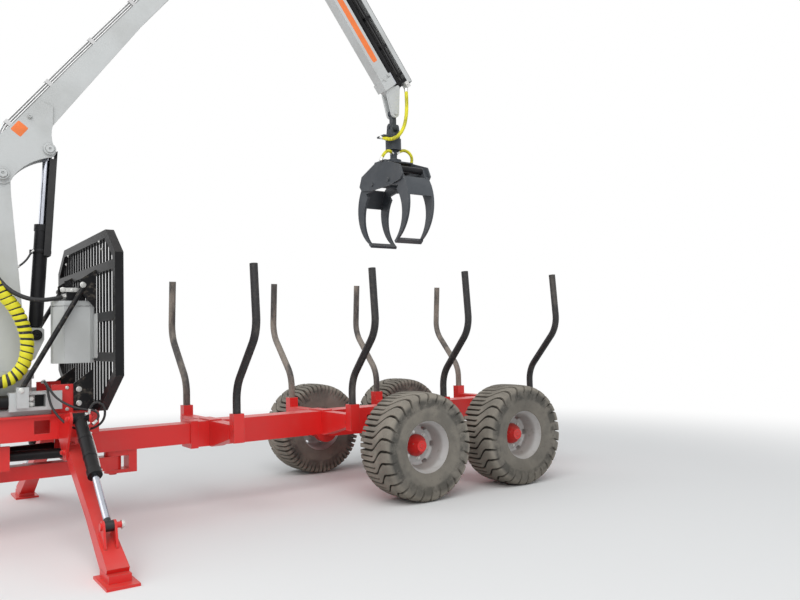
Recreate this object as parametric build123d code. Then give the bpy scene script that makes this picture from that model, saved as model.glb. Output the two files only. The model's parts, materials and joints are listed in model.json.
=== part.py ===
from build123d import *
import math
import os

# Forestry trailer with a loading crane, parked on its wheels and support legs.
# Millimetres. +X runs to the drawbar eye, +Y to the left side, +Z up.
# The origin is on the ground, half way along the trailer and on its middle plane.

# whole trailer
overall_length = 6200
rear_overhang = 1400
bogie_x = -overall_length / 2 + rear_overhang

# running clearances
pin_gap = 0.3
side_gap = 0.5
seat_gap = 0.3
gland_length = 46

# wheels
tyre_d = 880
tyre_width = 400
lug_count = 26
lug_height = 26
lug_width = 56
lug_sweep = 62
lug_reach = 186
tyre_flank_r = 302
rim_r = 212
rim_width = 344
rim_wall = 9
slot_count = 6
slot_circle_r = 154
slot_length = 50
slot_width = 22
wheel_spacing = 1065
track = 1777
disc_offset = -20
disc_thickness = 14
hub_r = 88
hub_reach = 105
hub_nose_r = 46
wheel_bore_r = 40
axle_z = tyre_d / 2

# bogie beams
bogie_y = 545
bogie_width = 110
bogie_height = 130
bogie_end_height = 104
bogie_pivot_r = 45
drum_r = 120
drum_length = 70

# main beam
front_beam_width = 176
front_beam_depth = 168
front_beam_drop = 10
rear_beam_width = 200
rear_beam_depth = 200
beam_top_z = 700
beam_front_reach = 3010
beam_step_reach = 2130
beam_rear_reach = 1340
beam_front_x = bogie_x + beam_front_reach
beam_step_x = bogie_x + beam_step_reach
beam_rear_x = bogie_x - beam_rear_reach
beam_wall = 10

# bunks and stakes: offset of each bunk from the bogie centre
bunk_offsets = (1953, 932, -33, -1116)
pocket_y = 554
pocket_outer = 84
pocket_bore = 62
pocket_top_z = 784
pocket_bottom_z = 566
bunk_width = 96
bunk_end_depth = 110
stake_d = 60
stake_bottom_z = 580
stake_bend_z = 985
stake_spread_y = 940
stake_spread_z = 1395
stake_tip_y = 900
stake_tip_z = 1892
stake_bend_r = 260

# headboard
headboard_reach = 2900
headboard_x = bogie_x + headboard_reach
headboard_tube = 56
headboard_top_z = 2110
headboard_shoulder_z = 1920
headboard_half_width = 905
headboard_top_half = 660
headboard_knee_z = 1140
headboard_foot_half = 470
headboard_foot_z = 900
headboard_bars = 20
headboard_bar_d = 14
crossbar_heights = (1245, 1520, 1860)
strut_y = 402

# crane frame on the front of the beam
frame_rear_reach = beam_front_reach - 10
frame_length = 900
frame_rear_x = bogie_x + frame_rear_reach
frame_front_x = frame_rear_x + frame_length
frame_y = 300
frame_plate = 14
frame_top_z = 860
frame_bottom_z = 685

# support legs: places are y and z in the leg's plane
leg_reach = frame_rear_reach + 90
leg_x = bogie_x + leg_reach
leg_width = 100
leg_depth = 91
leg_foot_width = 124
leg_foot_depth = 118
leg_pivot = (480, 612)
leg_cylinder_pin = (640, 846)
leg_rod_pin = (1372, 279)
leg_foot = (1500, 62)
leg_barrel_length = 525
leg_barrel_r = 40
leg_rod_r = 21
leg_rod_reach = 200
leg_pin_r = 18
leg_cheek = 14
pad_length_x = 182
pad_length_y = 300
pad_thickness = 16
pad_y = 1540
skirt_height = 60

# drawbar
hinge_reach = 2720
hinge_x = bogie_x + hinge_reach
hinge_hub_r = 62
hinge_pin_r = 28
drawbar_width = 120
drawbar_height = 100
drawbar_z = 440
eye_outer_r = 60
eye_r = 26
eye_thickness = 44
eye_x = overall_length / 2 - eye_outer_r
steer_root_offset = (340, 208)
steer_eye_offset = (1020, 90)
steer_z = 575
steer_barrel_r = 35
steer_rod_r = 16
steer_barrel_length = 480
steer_pin_r = 14
steer_lug_gap = 84
steer_lug = 14

# crane column
slew_reach = frame_rear_reach + 470
slew_x = bogie_x + slew_reach
column_bottom_z = 1100
column_size_x = 312
column_size_y = 250
column_top_size = 118
column_head_r = 52
boom_pivot_z = 2547
boom_pivot = (slew_x + 9, boom_pivot_z)
column_top_z = boom_pivot_z - 147
lift_root = (slew_x - 213, 1409)
lift_eye = (boom_pivot[0] - 304, boom_pivot_z + 200)
lift_barrel_r = 48
lift_rod_r = 26
lift_barrel_length = 803
lift_pin_r = 26
lift_eye_width = 84
lift_rod_reach = 560
guard_low = 14
guard_high = 62
guard_half_width = 61
guard_wall = 4
guard_length = 765
crane_pin_r = 30

# boom, stick and extension
elbow = (boom_pivot[0] - 2146, boom_pivot_z + 2815)
boom_width = 130
boom_plate = 12
boom_foot_r = 70
boom_eye_r = 49
boom_box_start = 150
boom_end_length = 160
pipe_d = 14
pipe_pitch = 16.5
elbow_pin_r = 30
stick_angle = 233.4
stick_height = 126
stick_width = 116
stick_wall = 8
stick_length = 2020
stick_start = 300
extension_gap = 2
extension_travel = 1200
horn_r = 210
horn_lead = 170
jib_root_back = 1450
jib_root_lift = 170
jib_barrel_r = 42
jib_rod_r = 22
jib_barrel_length = 960
jib_pin_r = 22
nose_reach = 224
nose_drop = 93
stick_turn = math.radians(stick_angle)
tip_pin = (elbow[0] + (stick_length + nose_reach) * math.cos(stick_turn) - nose_drop * math.sin(stick_turn),
           elbow[1] + (stick_length + nose_reach) * math.sin(stick_turn) + nose_drop * math.cos(stick_turn))
extension_barrel_r = 34
extension_rod_r = 16

# rotator and grapple
link_length = 135
swing_z = tip_pin[1] - link_length
tip_pin_r = 18
rotator_bowl_r = 76
rotator_length = 225
rotator_bottom_z = swing_z - rotator_length
grapple_top_z = rotator_bottom_z - 110
jaw_pivot_y = 140
jaw_pivot_z = grapple_top_z - 215
jaw_pin_r = 20
log_r = 330
log_z = jaw_pivot_z - 320
tine_back_r = 388
tine_back = (45, log_z + 85)
tine_x = 150
tine_thickness = 26
grapple_plate = 16
ear_y = 270
ear_z = jaw_pivot_z + 80
ear_pin_r = 16
grapple_barrel_r = 34
grapple_rod_r = 17
grapple_barrel_length = 340

side = Plane(origin=(0, 0, 0), x_dir=(1, 0, 0), z_dir=(0, -1, 0))
across = Plane(origin=(0, 0, 0), x_dir=(0, 1, 0), z_dir=(1, 0, 0))
level = Plane.XY


def slab(outline, plane, low, high):
    """Extrudes a flat outline from one distance to another along a plane's normal."""
    return extrude(plane.offset(low) * outline, amount=high - low, dir=plane.z_dir)


def brick(x, y, z):
    """A block between pairs of x, y and z limits."""
    middle = ((x[0] + x[1]) / 2, (y[0] + y[1]) / 2, (z[0] + z[1]) / 2)
    return Pos(*middle) * Box(abs(x[1] - x[0]), abs(y[1] - y[0]), abs(z[1] - z[0]))


def bar(start, end, radius):
    """A round bar between two points."""
    run = Vector(*tuple(end)) - Vector(*tuple(start))
    place = Plane(origin=start, z_dir=run)
    return extrude(place * Circle(radius), amount=run.length, dir=run)


def belt(first, second):
    """The outline of a belt round two discs, each given as x, y and radius."""
    apart = math.dist(first[:2], second[:2])
    along = math.atan2(second[1] - first[1], second[0] - first[0])
    open_angle = math.acos((first[2] - second[2]) / apart)
    corners = [(x + r * math.cos(along + turn), y + r * math.sin(along + turn))
               for (x, y, r), turn in ((first, open_angle), (first, -open_angle),
                                       (second, -open_angle), (second, open_angle))]
    return Polygon(*corners, align=None)


def hull(*discs):
    """The outline round several discs in order, each given as x, y and radius."""
    shape = Pos(*discs[0][:2]) * Circle(discs[0][2])
    for x, y, r in discs[1:]:
        shape += Pos(x, y) * Circle(r)
    for first, second in zip(discs, discs[1:] + discs[:1]):
        shape += belt(first, second)
    if len(discs) > 2:
        shape += Polygon(*[disc[:2] for disc in discs], align=None)
    return shape


def rectangle(x, y):
    """A rectangle between pairs of x and y limits."""
    return Pos((x[0] + x[1]) / 2, (y[0] + y[1]) / 2) * Rectangle(x[1] - x[0], y[1] - y[0])


def on_circle(centre, radius, degrees):
    """A point on a circle, as x and y."""
    turn = math.radians(degrees)
    return (centre[0] + radius * math.cos(turn), centre[1] + radius * math.sin(turn))


def mirrored(solid):
    """The same piece on the other side of the trailer."""
    return mirror(solid, about=Plane.XZ)


def on_both_sides(solid):
    return solid + mirrored(solid)


def write(name, *solids):
    """Writes the solids of one node, as a compound when there are several."""
    pieces = [solid for shape in solids for solid in shape.solids()]
    shape = pieces[0] if len(pieces) == 1 else Compound(children=pieces)
    shape.label = name
    export_step(shape, "parts/" + name + ".step")


def arm_plane(pin, towards_x, towards_z):
    """A plane in the crane's middle with x along an arm and y on its upper side."""
    return Plane(origin=(pin[0], 0, pin[1]), x_dir=(towards_x, 0, towards_z), z_dir=(0, 1, 0))


def local(plane, point):
    """A point of the crane's middle plane in an arm's own x and y."""
    spot = plane.to_local_coords(Vector(point[0], 0, point[1]))
    return (spot.X, spot.Y)


boom_plane = arm_plane(boom_pivot, elbow[0] - boom_pivot[0], elbow[1] - boom_pivot[1])
boom_length = math.dist(boom_pivot, elbow)
stick_run = (math.cos(math.radians(stick_angle)), math.sin(math.radians(stick_angle)))
stick_plane = arm_plane(elbow, *stick_run)


def to_world(plane, point):
    """A point given in an arm's x and y, as x and z of the trailer."""
    spot = plane.from_local_coords(Vector(point[0], point[1], 0))
    return (spot.X, spot.Z)


def cylinder_barrel(root, eye, length, radius, rod_r, root_pin_r, width, axis):
    """A hydraulic barrel with its root eye bored for the pin, a gland and an inner bore."""
    root = Vector(*root)
    run = (Vector(*eye) - root).normalized()
    eye_r = radius * 0.92
    start = radius * 1.36
    neck_r = min(radius * 0.86, width * 0.4)
    neck = bar(root, root + run * (start + 1), neck_r)
    shell = bar(root + run * start, root + run * (length - gland_length), radius)
    gland = bar(root + run * (length - gland_length), root + run * length, radius + 5)
    boss = bar(root - axis * (width / 2), root + axis * (width / 2), eye_r)
    pin_hole = bar(root - axis * width, root + axis * width, root_pin_r + pin_gap)
    bore = bar(root + run * (start + 12), root + run * (length + 10), rod_r + pin_gap)
    return neck + shell + gland + boss - pin_hole - bore


def cylinder_rod(root, eye, length, rod_r, eye_radius, width, axis, reach_in):
    """A rod with its end eye, reaching back into the barrel."""
    eye = Vector(*eye)
    run = (eye - Vector(*root)).normalized()
    rest = (eye - Vector(*root)).length
    start = Vector(*root) + run * (length - reach_in)
    shaft = extrude(Plane(origin=start, z_dir=run) * Circle(rod_r),
                    amount=rest - length + reach_in - eye_radius * 0.5)
    boss = extrude(Plane(origin=eye - axis * (width / 2), z_dir=axis) * Circle(eye_radius), amount=width)
    return shaft + boss


# wheels

def ring_loft(sections):
    """A ruled body through flat-sided rings, each given as its y and its smallest radius."""
    rings = []
    for y, radius in sections:
        place = Plane(origin=(0, y, 0), x_dir=(1, 0, 0), z_dir=(0, 1, 0))
        rings.append(place * RegularPolygon(radius, lug_count, major_radius=False))
    return loft(rings, ruled=True)


def tyre():
    """A flat-sided ring round the y axis with its chevron lugs, one lug's corner straight down."""
    half = tyre_width / 2
    crown = tyre_d / 2 - lug_height
    bead = rim_width / 2 - 17
    body = ring_loft([(-half, crown - 40), (-half + 50, crown), (half - 50, crown), (half, crown - 40)])
    for sign in (-1, 1):
        body -= ring_loft([(sign * (half + 1), tyre_flank_r), (sign * bead, rim_r + 26)])
    body -= ring_loft([(-half, rim_r), (half, rim_r)])
    reach = (lug_width + lug_sweep) / 2
    flat = math.sqrt((tyre_d / 2) ** 2 - reach ** 2)
    lean = math.degrees(math.atan2(reach, flat))
    for index in range(lug_count):
        body += Rot(0, lean + index * 360 / lug_count, 0) * lug(crown - 50, flat)
    return body


def lug(low, high):
    """One chevron: two bars that run from the tread's middle back to its shoulders."""
    near = lug_width / 2
    outline = Polygon((near, 0), (near + lug_sweep, lug_reach - 44), (near + lug_sweep, lug_reach),
                      (lug_sweep - near, lug_reach), (-near, 0), (lug_sweep - near, -lug_reach),
                      (near + lug_sweep, -lug_reach), (near + lug_sweep, 44 - lug_reach), align=None)
    return slab(Pos(-lug_sweep / 2, 0) * outline, level, low, high)


def rim_and_hub():
    """Rim, dished disc and hub in one piece, its outer face towards +y."""
    half = rim_width / 2
    outline = make_face(Polyline(
        (rim_r, -half + 16), (rim_r + 14, -half), (rim_r - 4, -half), (rim_r - rim_wall, -half + 18),
        (rim_r - 26, -half + 60), (rim_r - 26, disc_offset - 26), (hub_r + 44, disc_offset),
        (wheel_bore_r, disc_offset), (wheel_bore_r, disc_offset + disc_thickness),
        (hub_r + 50, disc_offset + disc_thickness), (rim_r - 26 + rim_wall - 34, disc_offset + 30),
        (rim_r - 26, half - 60), (rim_r - rim_wall, half - 18), (rim_r - 4, half), (rim_r + 14, half),
        (rim_r, half - 16), (rim_r - 16, half - 60), (rim_r - 16, -half + 60), close=True))
    disc = revolve(Plane.XY * outline, axis=Axis.Y)
    slot = slab(Pos(slot_circle_r, 0) * Rot(0, 0, 90) * SlotOverall(slot_length, slot_width), side,
                -rim_width,
                rim_width)
    for index in range(slot_count):
        disc -= Rot(0, index * 360 / slot_count, 0) * slot
    hub = make_face(Polyline(
        (wheel_bore_r, disc_offset - drum_length + 30), (hub_r + 10, disc_offset - drum_length + 30),
        (hub_r + 10, disc_offset), (hub_r, disc_offset + disc_thickness), (hub_r - 8, disc_offset + 50),
        (hub_nose_r, disc_offset + hub_reach - 22), (hub_nose_r, disc_offset + hub_reach),
        (0, disc_offset + hub_reach), (0, disc_offset + hub_reach - 30),
        (wheel_bore_r, disc_offset + hub_reach - 30),
        close=True))
    return disc + revolve(Plane.XY * hub, axis=Axis.Y)


wheel_corners = [
    (side_name + "_" + end_name, sign, bogie_x + end * wheel_spacing / 2)
    for side_name, sign in (("left", 1), ("right", -1))
    for end_name, end in (("front", 1), ("rear", -1))
]


def wheels():
    one_tyre = tyre()
    one_rim = rim_and_hub()
    for name, sign, x in wheel_corners:
        place = Pos(x, sign * track / 2, axle_z)
        write("tyre_" + name, place * one_tyre)
        rim = one_rim if sign > 0 else mirrored(one_rim)
        write("wheel_" + name, place * rim)


def bogie(sign):
    """A rocking beam with stub axles and brake drums at its two ends."""
    half = wheel_spacing / 2
    centre = slab(hull((-half, 0, bogie_end_height / 2), (half, 0, bogie_end_height / 2),
                       (0, 8, bogie_height / 2)), side, -bogie_width / 2, bogie_width / 2)
    centre -= slab(Circle(bogie_pivot_r + pin_gap), side, -bogie_width, bogie_width)
    drum_inner = bogie_width / 2
    disc_inner_y = track / 2 - bogie_y + disc_offset - drum_length + 30 - side_gap
    for x in (-half, half):
        drum = slab(Pos(x, 0) * Circle(drum_r), side, -drum_inner - drum_length, -drum_inner)
        neck = slab(Pos(x, 0) * Circle(hub_r), side, -disc_inner_y, -drum_inner)
        tip_y = track / 2 - bogie_y + disc_offset + hub_reach - 30 - side_gap
        stub = slab(Pos(x, 0) * Circle(wheel_bore_r - pin_gap), side, -tip_y, -drum_inner)
        centre += drum + neck + stub
    shape = Pos(bogie_x, bogie_y, axle_z) * centre
    return shape if sign > 0 else mirrored(shape)


def axle_mount():
    """The cross axle under the beam, with its pivots and the saddle plates."""
    inner = bogie_y - bogie_width / 2 - side_gap
    outer = bogie_y + bogie_width / 2 + side_gap
    beam_bottom = beam_top_z - rear_beam_depth
    cross = brick((bogie_x - 62, bogie_x + 62), (-inner, inner), (axle_z - 62, beam_bottom - 16))
    pivot = bar((bogie_x, inner, axle_z), (bogie_x, outer + 18, axle_z), bogie_pivot_r)
    washer = bar((bogie_x, outer, axle_z), (bogie_x, outer + 18, axle_z), bogie_pivot_r + 16)
    saddle = brick((bogie_x - 330, bogie_x + 330), (-150, 150), (beam_bottom - 16, beam_bottom))
    return cross + on_both_sides(pivot + washer) + saddle


# frame

def main_beam():
    """Two box sections, the wider one sleeved over the front one."""
    front = brick((beam_step_x - 60, beam_front_x), (-front_beam_width / 2, front_beam_width / 2),
                  (beam_top_z - front_beam_depth, beam_top_z - front_beam_drop))
    rear = brick((beam_rear_x, beam_step_x), (-rear_beam_width / 2, rear_beam_width / 2),
                 (beam_top_z - rear_beam_depth, beam_top_z))
    opening = brick((beam_rear_x - 1, beam_rear_x + 260),
                    (-rear_beam_width / 2 + beam_wall, rear_beam_width / 2 - beam_wall),
                    (beam_top_z - rear_beam_depth + beam_wall, beam_top_z - beam_wall))
    collar = brick((beam_step_x - 40, beam_step_x + 20), (-rear_beam_width / 2 - 8, rear_beam_width / 2 + 8),
                   (beam_top_z - rear_beam_depth - 8, beam_top_z + 8))
    locking_holes = []
    for x in (bogie_x + 760, bogie_x + 480):
        locking_holes.append(bar((x, -300, beam_top_z - 92), (x, 300, beam_top_z - 92), 27))
    hinge = drawbar_hinge()
    shape = rear - opening + front + collar
    for hole in locking_holes:
        shape -= hole
    return shape + hinge


def drawbar_hinge():
    """Lugs above and below the drawbar's rear hub, with their pin."""
    top = drawbar_z + drawbar_height / 2 + side_gap
    bottom = drawbar_z - drawbar_height / 2 - side_gap
    beam_bottom = beam_top_z - front_beam_depth
    lug = hull((hinge_x, 0, hinge_hub_r), (hinge_x - 150, 62, 10), (hinge_x - 150, -62, 10))
    upper = slab(lug, level, top, beam_bottom)
    lower = slab(lug, level, bottom - 26, bottom)
    web = brick((hinge_x - 160, hinge_x - 100), (-72, 72), (bottom - 26, beam_bottom))
    pin = bar((hinge_x, 0, bottom - 40), (hinge_x, 0, beam_bottom), hinge_pin_r)
    return upper + lower + web + pin


def bunk(offset):
    """A cross beam of folded plate with a socket at each end and gussets below."""
    x = bogie_x + offset
    beam_half = rear_beam_width / 2
    half = bunk_width / 2
    bottom = beam_top_z - rear_beam_depth
    inner = pocket_y - pocket_outer / 2
    arm = slab(Polygon((beam_half, bottom), (beam_half + 60, bottom), (inner, beam_top_z - bunk_end_depth),
                       (inner, beam_top_z), (beam_half, beam_top_z), align=None), across, x - half, x + half)
    pocket = brick((x - pocket_outer / 2, x + pocket_outer / 2), (inner, pocket_y + pocket_outer / 2),
                   (pocket_bottom_z, pocket_top_z))
    hole = bar((x, pocket_y, stake_bottom_z), (x, pocket_y, pocket_top_z + 1), pocket_bore / 2)
    arm = arm + pocket - hole
    strap = brick((x - half, x + half), (-beam_half - 30, beam_half + 30), (beam_top_z, beam_top_z + 10))
    left = arm
    return left + mirrored(left) + strap


def stake(offset):
    """A round stake, upright in its socket, then bent outwards and up again."""
    x = bogie_x + offset
    path = FilletPolyline(
        (x, pocket_y, stake_bottom_z + seat_gap), (x, pocket_y, stake_bend_z),
        (x, stake_spread_y, stake_spread_z),
        (x, stake_tip_y, stake_tip_z), radius=stake_bend_r)
    start = Plane(origin=(x, pocket_y, stake_bottom_z + seat_gap), z_dir=(0, 0, 1))
    return sweep(start * Circle(stake_d / 2), path=path)


def headboard():
    """A tube frame filled with upright bars, its feet bolted to the crane frame."""
    half = headboard_tube / 2
    outline = [(-headboard_foot_half, headboard_foot_z), (-headboard_half_width + half, headboard_knee_z),
               (-headboard_half_width + half, headboard_shoulder_z),
               (-headboard_top_half, headboard_top_z - half),
               (headboard_top_half, headboard_top_z - half),
               (headboard_half_width - half, headboard_shoulder_z),
               (headboard_half_width - half, headboard_knee_z), (headboard_foot_half, headboard_foot_z)]
    middle = make_face(Polyline(*outline, close=True))
    inner = offset(middle, amount=-half, kind=Kind.INTERSECTION)
    outer = offset(middle, amount=half, kind=Kind.INTERSECTION)
    shape = slab(outer, across, headboard_x - half, headboard_x + half)
    shape -= slab(inner, across, headboard_x - half - 1, headboard_x + half + 1)
    reach = 2 * headboard_half_width
    window = slab(inner, across, headboard_x - half, headboard_x + half)
    for z in crossbar_heights:
        shape += window & brick((headboard_x - half, headboard_x + half), (-reach, reach), (z - 30, z + 30))
    step = 2 * (headboard_half_width - headboard_tube) / headboard_bars
    for index in range(1, headboard_bars):
        y = -headboard_half_width + headboard_tube + index * step
        upright = brick((headboard_x - headboard_bar_d / 2, headboard_x + headboard_bar_d / 2),
                        (y - headboard_bar_d / 2, y + headboard_bar_d / 2), (0, headboard_top_z + 100))
        shape += window & upright
    return shape


def headboard_stays():
    """The plates that bolt the headboard to the crane frame, and the slanting stays behind it."""
    half = headboard_tube / 2
    foot = slab(Polygon((headboard_x + half, headboard_foot_z - half),
                        (headboard_x + 160, headboard_foot_z - half),
                        (headboard_x + 160, 1060), (headboard_x + half, 1160), align=None),
                side, -frame_y - 12, -frame_y + 2)
    gusset = slab(Polygon((headboard_x + half, 1585), (headboard_x + 130, 1700), (headboard_x + 130, 1790),
                          (headboard_x + half, 1860), align=None), side, -strut_y + 8, -strut_y + 24)
    strut = bar((headboard_x + 105, strut_y, 1745), (slew_x - 70, strut_y, 1050), 17)
    strut_foot = brick((slew_x - 110, slew_x - 40), (frame_y + 44, strut_y + 14), (frame_top_z + 60, 1056))
    pieces = []
    for piece in (foot, gusset + strut + strut_foot):
        pieces += [piece, mirrored(piece)]
    return pieces


def front_frame():
    """The box frame that carries the crane, the leg pivots and the steering lugs."""
    plate = brick((frame_rear_x + 30, frame_front_x), (frame_y - frame_plate, frame_y),
                  (frame_bottom_z, frame_top_z - frame_plate))
    window = brick((slew_x - 260, slew_x - 160), (0, frame_y + 5), (frame_top_z - 130, frame_top_z - 40))
    plate -= window
    ear = brick((frame_rear_x + 30, frame_rear_x + 200), (frame_y - 2 - frame_plate, frame_y - 2),
                (frame_top_z, 1060))
    shape = on_both_sides(plate + ear)
    shape += brick((frame_rear_x + 30, frame_front_x), (-frame_y - 30, frame_y + 30),
                   (frame_top_z - frame_plate, frame_top_z))
    shape += brick((frame_front_x - 20, frame_front_x), (-frame_y, frame_y),
                   (frame_bottom_z, frame_top_z - 1))
    shape += brick((beam_front_x, beam_front_x + 20), (-frame_y, frame_y), (frame_bottom_z, frame_top_z - 1))
    rib_top = frame_top_z - frame_plate
    for side_y in (-front_beam_width / 2 - 12, front_beam_width / 2):
        shape += brick((frame_rear_x - 160, frame_front_x - 20), (side_y, side_y + 12),
                       (frame_bottom_z, rib_top))
    return shape


def leg_bracket():
    """The two cheeks that hold the left leg, with the pins of the leg and its cylinder."""
    rib_top = frame_top_z - frame_plate
    cheek_inner = leg_width / 2 + side_gap
    outline = hull((leg_pivot[0], leg_pivot[1], 58), (leg_cylinder_pin[0], leg_cylinder_pin[1], 44),
                   (frame_y, rib_top - 30, 20), (frame_y, frame_bottom_z + 20, 20))
    outer_half = cheek_inner + leg_cheek
    cheeks = slab(outline, across, leg_x - outer_half, leg_x + outer_half)
    cheeks -= brick((leg_x - cheek_inner, leg_x + cheek_inner), (0, 1000), (0, 1000))
    cheeks -= brick((leg_x - 200, leg_x + 200), (0, frame_y), (0, 1000))
    cheeks -= brick((leg_x - 200, leg_x + 200), (0, frame_y + 30), (rib_top, 1000))
    for pin in (leg_pivot, leg_cylinder_pin):
        cheeks += bar((leg_x - outer_half - 12, *pin), (leg_x + outer_half + 12, *pin), leg_pin_r)
    return cheeks


def steer_bracket():
    """The lugs on the beam's left side for the root of the steering cylinder."""
    root_x = hinge_x + steer_root_offset[0]
    root_y = steer_root_offset[1]
    beam_side = front_beam_width / 2
    lug_low = steer_z - steer_lug_gap / 2 - side_gap - steer_lug
    shape = brick((root_x - 48, root_x + 48), (beam_side, beam_side + 24), (lug_low, frame_bottom_z))
    outline = hull((root_x, root_y, 30), (root_x - 30, beam_side + 18, 18),
                   (root_x + 30, beam_side + 18, 18))
    for z in (lug_low, steer_z + steer_lug_gap / 2 + side_gap):
        shape += slab(outline, level, z, z + steer_lug)
    pin_half = steer_lug_gap / 2 + side_gap + steer_lug + 6
    return shape + bar((root_x, root_y, steer_z - pin_half), (root_x, root_y, steer_z + pin_half),
                       steer_pin_r)


def leg():
    """The left support leg: a tube that widens towards its foot plate, with lugs for the rod."""
    pivot = Vector(0, *leg_pivot)
    run = (Vector(0, *leg_foot) - pivot).normalized()
    half = leg_width / 2
    leg_plane = Plane(origin=(leg_x, *leg_pivot), x_dir=(0, run.Y, run.Z), z_dir=(1, 0, 0))
    length = math.dist(leg_pivot, leg_foot)
    flare = length * 0.55
    tube = slab(hull((0, 0, leg_depth / 2), (flare, 0, leg_depth / 2)), leg_plane, -half, half)
    ends = []
    for distance, width, depth in ((flare, leg_width, leg_depth),
                                   (length + 60, leg_foot_width, leg_foot_depth)):
        spot = leg_plane.from_local_coords(Vector(distance, 0, 0))
        ends.append(Plane(origin=spot, x_dir=(1, 0, 0), z_dir=run) * Rectangle(width, depth))
    shape = tube + loft(ends, ruled=True)
    bore = bar((leg_x - leg_width, *leg_pivot), (leg_x + leg_width, *leg_pivot), leg_pin_r + pin_gap)
    lug_gap = 26 + seat_gap
    pin = leg_rod_pin
    lug = hull((pin[0], pin[1], 34), (pin[0] - 54, pin[1] - 68, 20), (pin[0] + 46, pin[1] - 112, 20))
    for x in (leg_x - lug_gap - 14, leg_x + lug_gap):
        shape += slab(lug, across, x, x + 14)
    nut = bar((leg_x - lug_gap - 46, *pin), (leg_x - lug_gap - 14, *pin), 18)
    head = bar((leg_x + lug_gap + 14, *pin), (leg_x + lug_gap + 24, *pin), 22)
    pad = brick((leg_x - pad_length_x / 2, leg_x + pad_length_x / 2),
                (pad_y - pad_length_y / 2, pad_y + pad_length_y / 2),
                (0, pad_thickness))
    skirt_half = leg_foot_width / 2
    skirt = brick((leg_x - skirt_half, leg_x + skirt_half), (pad_y - 120, pad_y + 80),
                  (pad_thickness, skirt_height))
    floor_cut = brick((leg_x - 500, leg_x + 500), (0, 3000), (-300, 0))
    end_cut = brick((leg_x - 500, leg_x + 500), (pad_y + 80, 3000), (pad_thickness, 1000))
    return shape - end_cut + nut + head + skirt + pad - bore - floor_cut


def legs():
    piece = leg()
    root = (leg_x, *leg_cylinder_pin)
    eye = (leg_x, *leg_rod_pin)
    axis = Vector(1, 0, 0)
    barrel = cylinder_barrel(root, eye, leg_barrel_length, leg_barrel_r, leg_rod_r, leg_pin_r, leg_width,
                             axis)
    rod = cylinder_rod(root, eye, leg_barrel_length, leg_rod_r, 32, 52, axis, leg_rod_reach)
    for name, solid in (("leg", piece), ("leg_barrel", barrel), ("leg_rod", rod)):
        write(name + "_left", solid)
        write(name + "_right", mirrored(solid))


def drawbar():
    """The towing beam: hinge hub, tapered box, bracket for the steering rods and the eye."""
    half = drawbar_width / 2
    low = drawbar_z - drawbar_height / 2
    high = drawbar_z + drawbar_height / 2
    hub = slab(Pos(hinge_x, 0) * Circle(hinge_hub_r - 2), level, low, high)
    beam = slab(Polygon((hinge_x, -half), (eye_x - 360, -half), (eye_x - 170, -44), (eye_x - 170, 44),
                        (eye_x - 360, half), (hinge_x, half), align=None), level, low, high)
    neck = slab(Polygon((eye_x - 190, -44), (eye_x - 30, -36), (eye_x - 30, 36), (eye_x - 190, 44),
                        align=None),
                level, drawbar_z - eye_thickness / 2, drawbar_z + eye_thickness / 2)
    ring = slab(Pos(eye_x, 0) * Circle(eye_outer_r), level, drawbar_z - eye_thickness / 2,
                drawbar_z + eye_thickness / 2)
    bore = slab(Pos(eye_x, 0) * Circle(eye_r), level, low - 100, high + 100)
    pin_bore = slab(Pos(hinge_x, 0) * Circle(hinge_pin_r + pin_gap), level, low - 100, high + 100)
    return hub + beam + neck + ring - bore - pin_bore


def drawbar_tray():
    """The tray on the drawbar's back, with the lugs that hold the steering rods."""
    high = drawbar_z + drawbar_height / 2
    tray_rear = hinge_x + 730
    tray_front = hinge_x + 1130
    cheek_y = 222
    tray = brick((tray_rear, tray_front), (-cheek_y - 14, cheek_y + 14), (high, high + 14))
    cheek = slab(Polygon((tray_rear, high), (tray_front, high), (tray_front - 90, high + 168),
                         (tray_rear, high + 168), align=None), side, -cheek_y - 14, -cheek_y)
    rod_x = hinge_x + steer_eye_offset[0]
    rod_y = steer_eye_offset[1]
    lug = hull((rod_x, rod_y, 32), (rod_x + 70, rod_y, 32), (rod_x + 70, 20, 20))
    low_lug = slab(lug, level, high + 10, steer_z - steer_lug_gap / 2 - side_gap)
    high_lug = slab(lug, level, steer_z + steer_lug_gap / 2 + side_gap,
                    steer_z + steer_lug_gap / 2 + side_gap + steer_lug)
    post = brick((rod_x + 56, rod_x + 100), (0, rod_y + 32),
                 (high, steer_z + steer_lug_gap / 2 + side_gap + steer_lug))
    boss_low = steer_z + steer_lug_gap / 2 + side_gap + steer_lug
    boss = bar((rod_x, rod_y, boss_low), (rod_x, rod_y, boss_low + 14), 20)
    return tray + on_both_sides(cheek + low_lug + high_lug + post + boss)


def steering():
    root = (hinge_x + steer_root_offset[0], steer_root_offset[1], steer_z)
    eye = (hinge_x + steer_eye_offset[0], steer_eye_offset[1], steer_z)
    axis = Vector(0, 0, 1)
    barrel = cylinder_barrel(root, eye, steer_barrel_length, steer_barrel_r, steer_rod_r, steer_pin_r,
                             steer_lug_gap, axis)
    rod = cylinder_rod(root, eye, steer_barrel_length, steer_rod_r, 26, steer_lug_gap, axis, 300)
    for name, solid in (("steer_barrel", barrel), ("steer_rod", rod)):
        write(name + "_left", solid)
        write(name + "_right", mirrored(solid))


# crane

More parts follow.
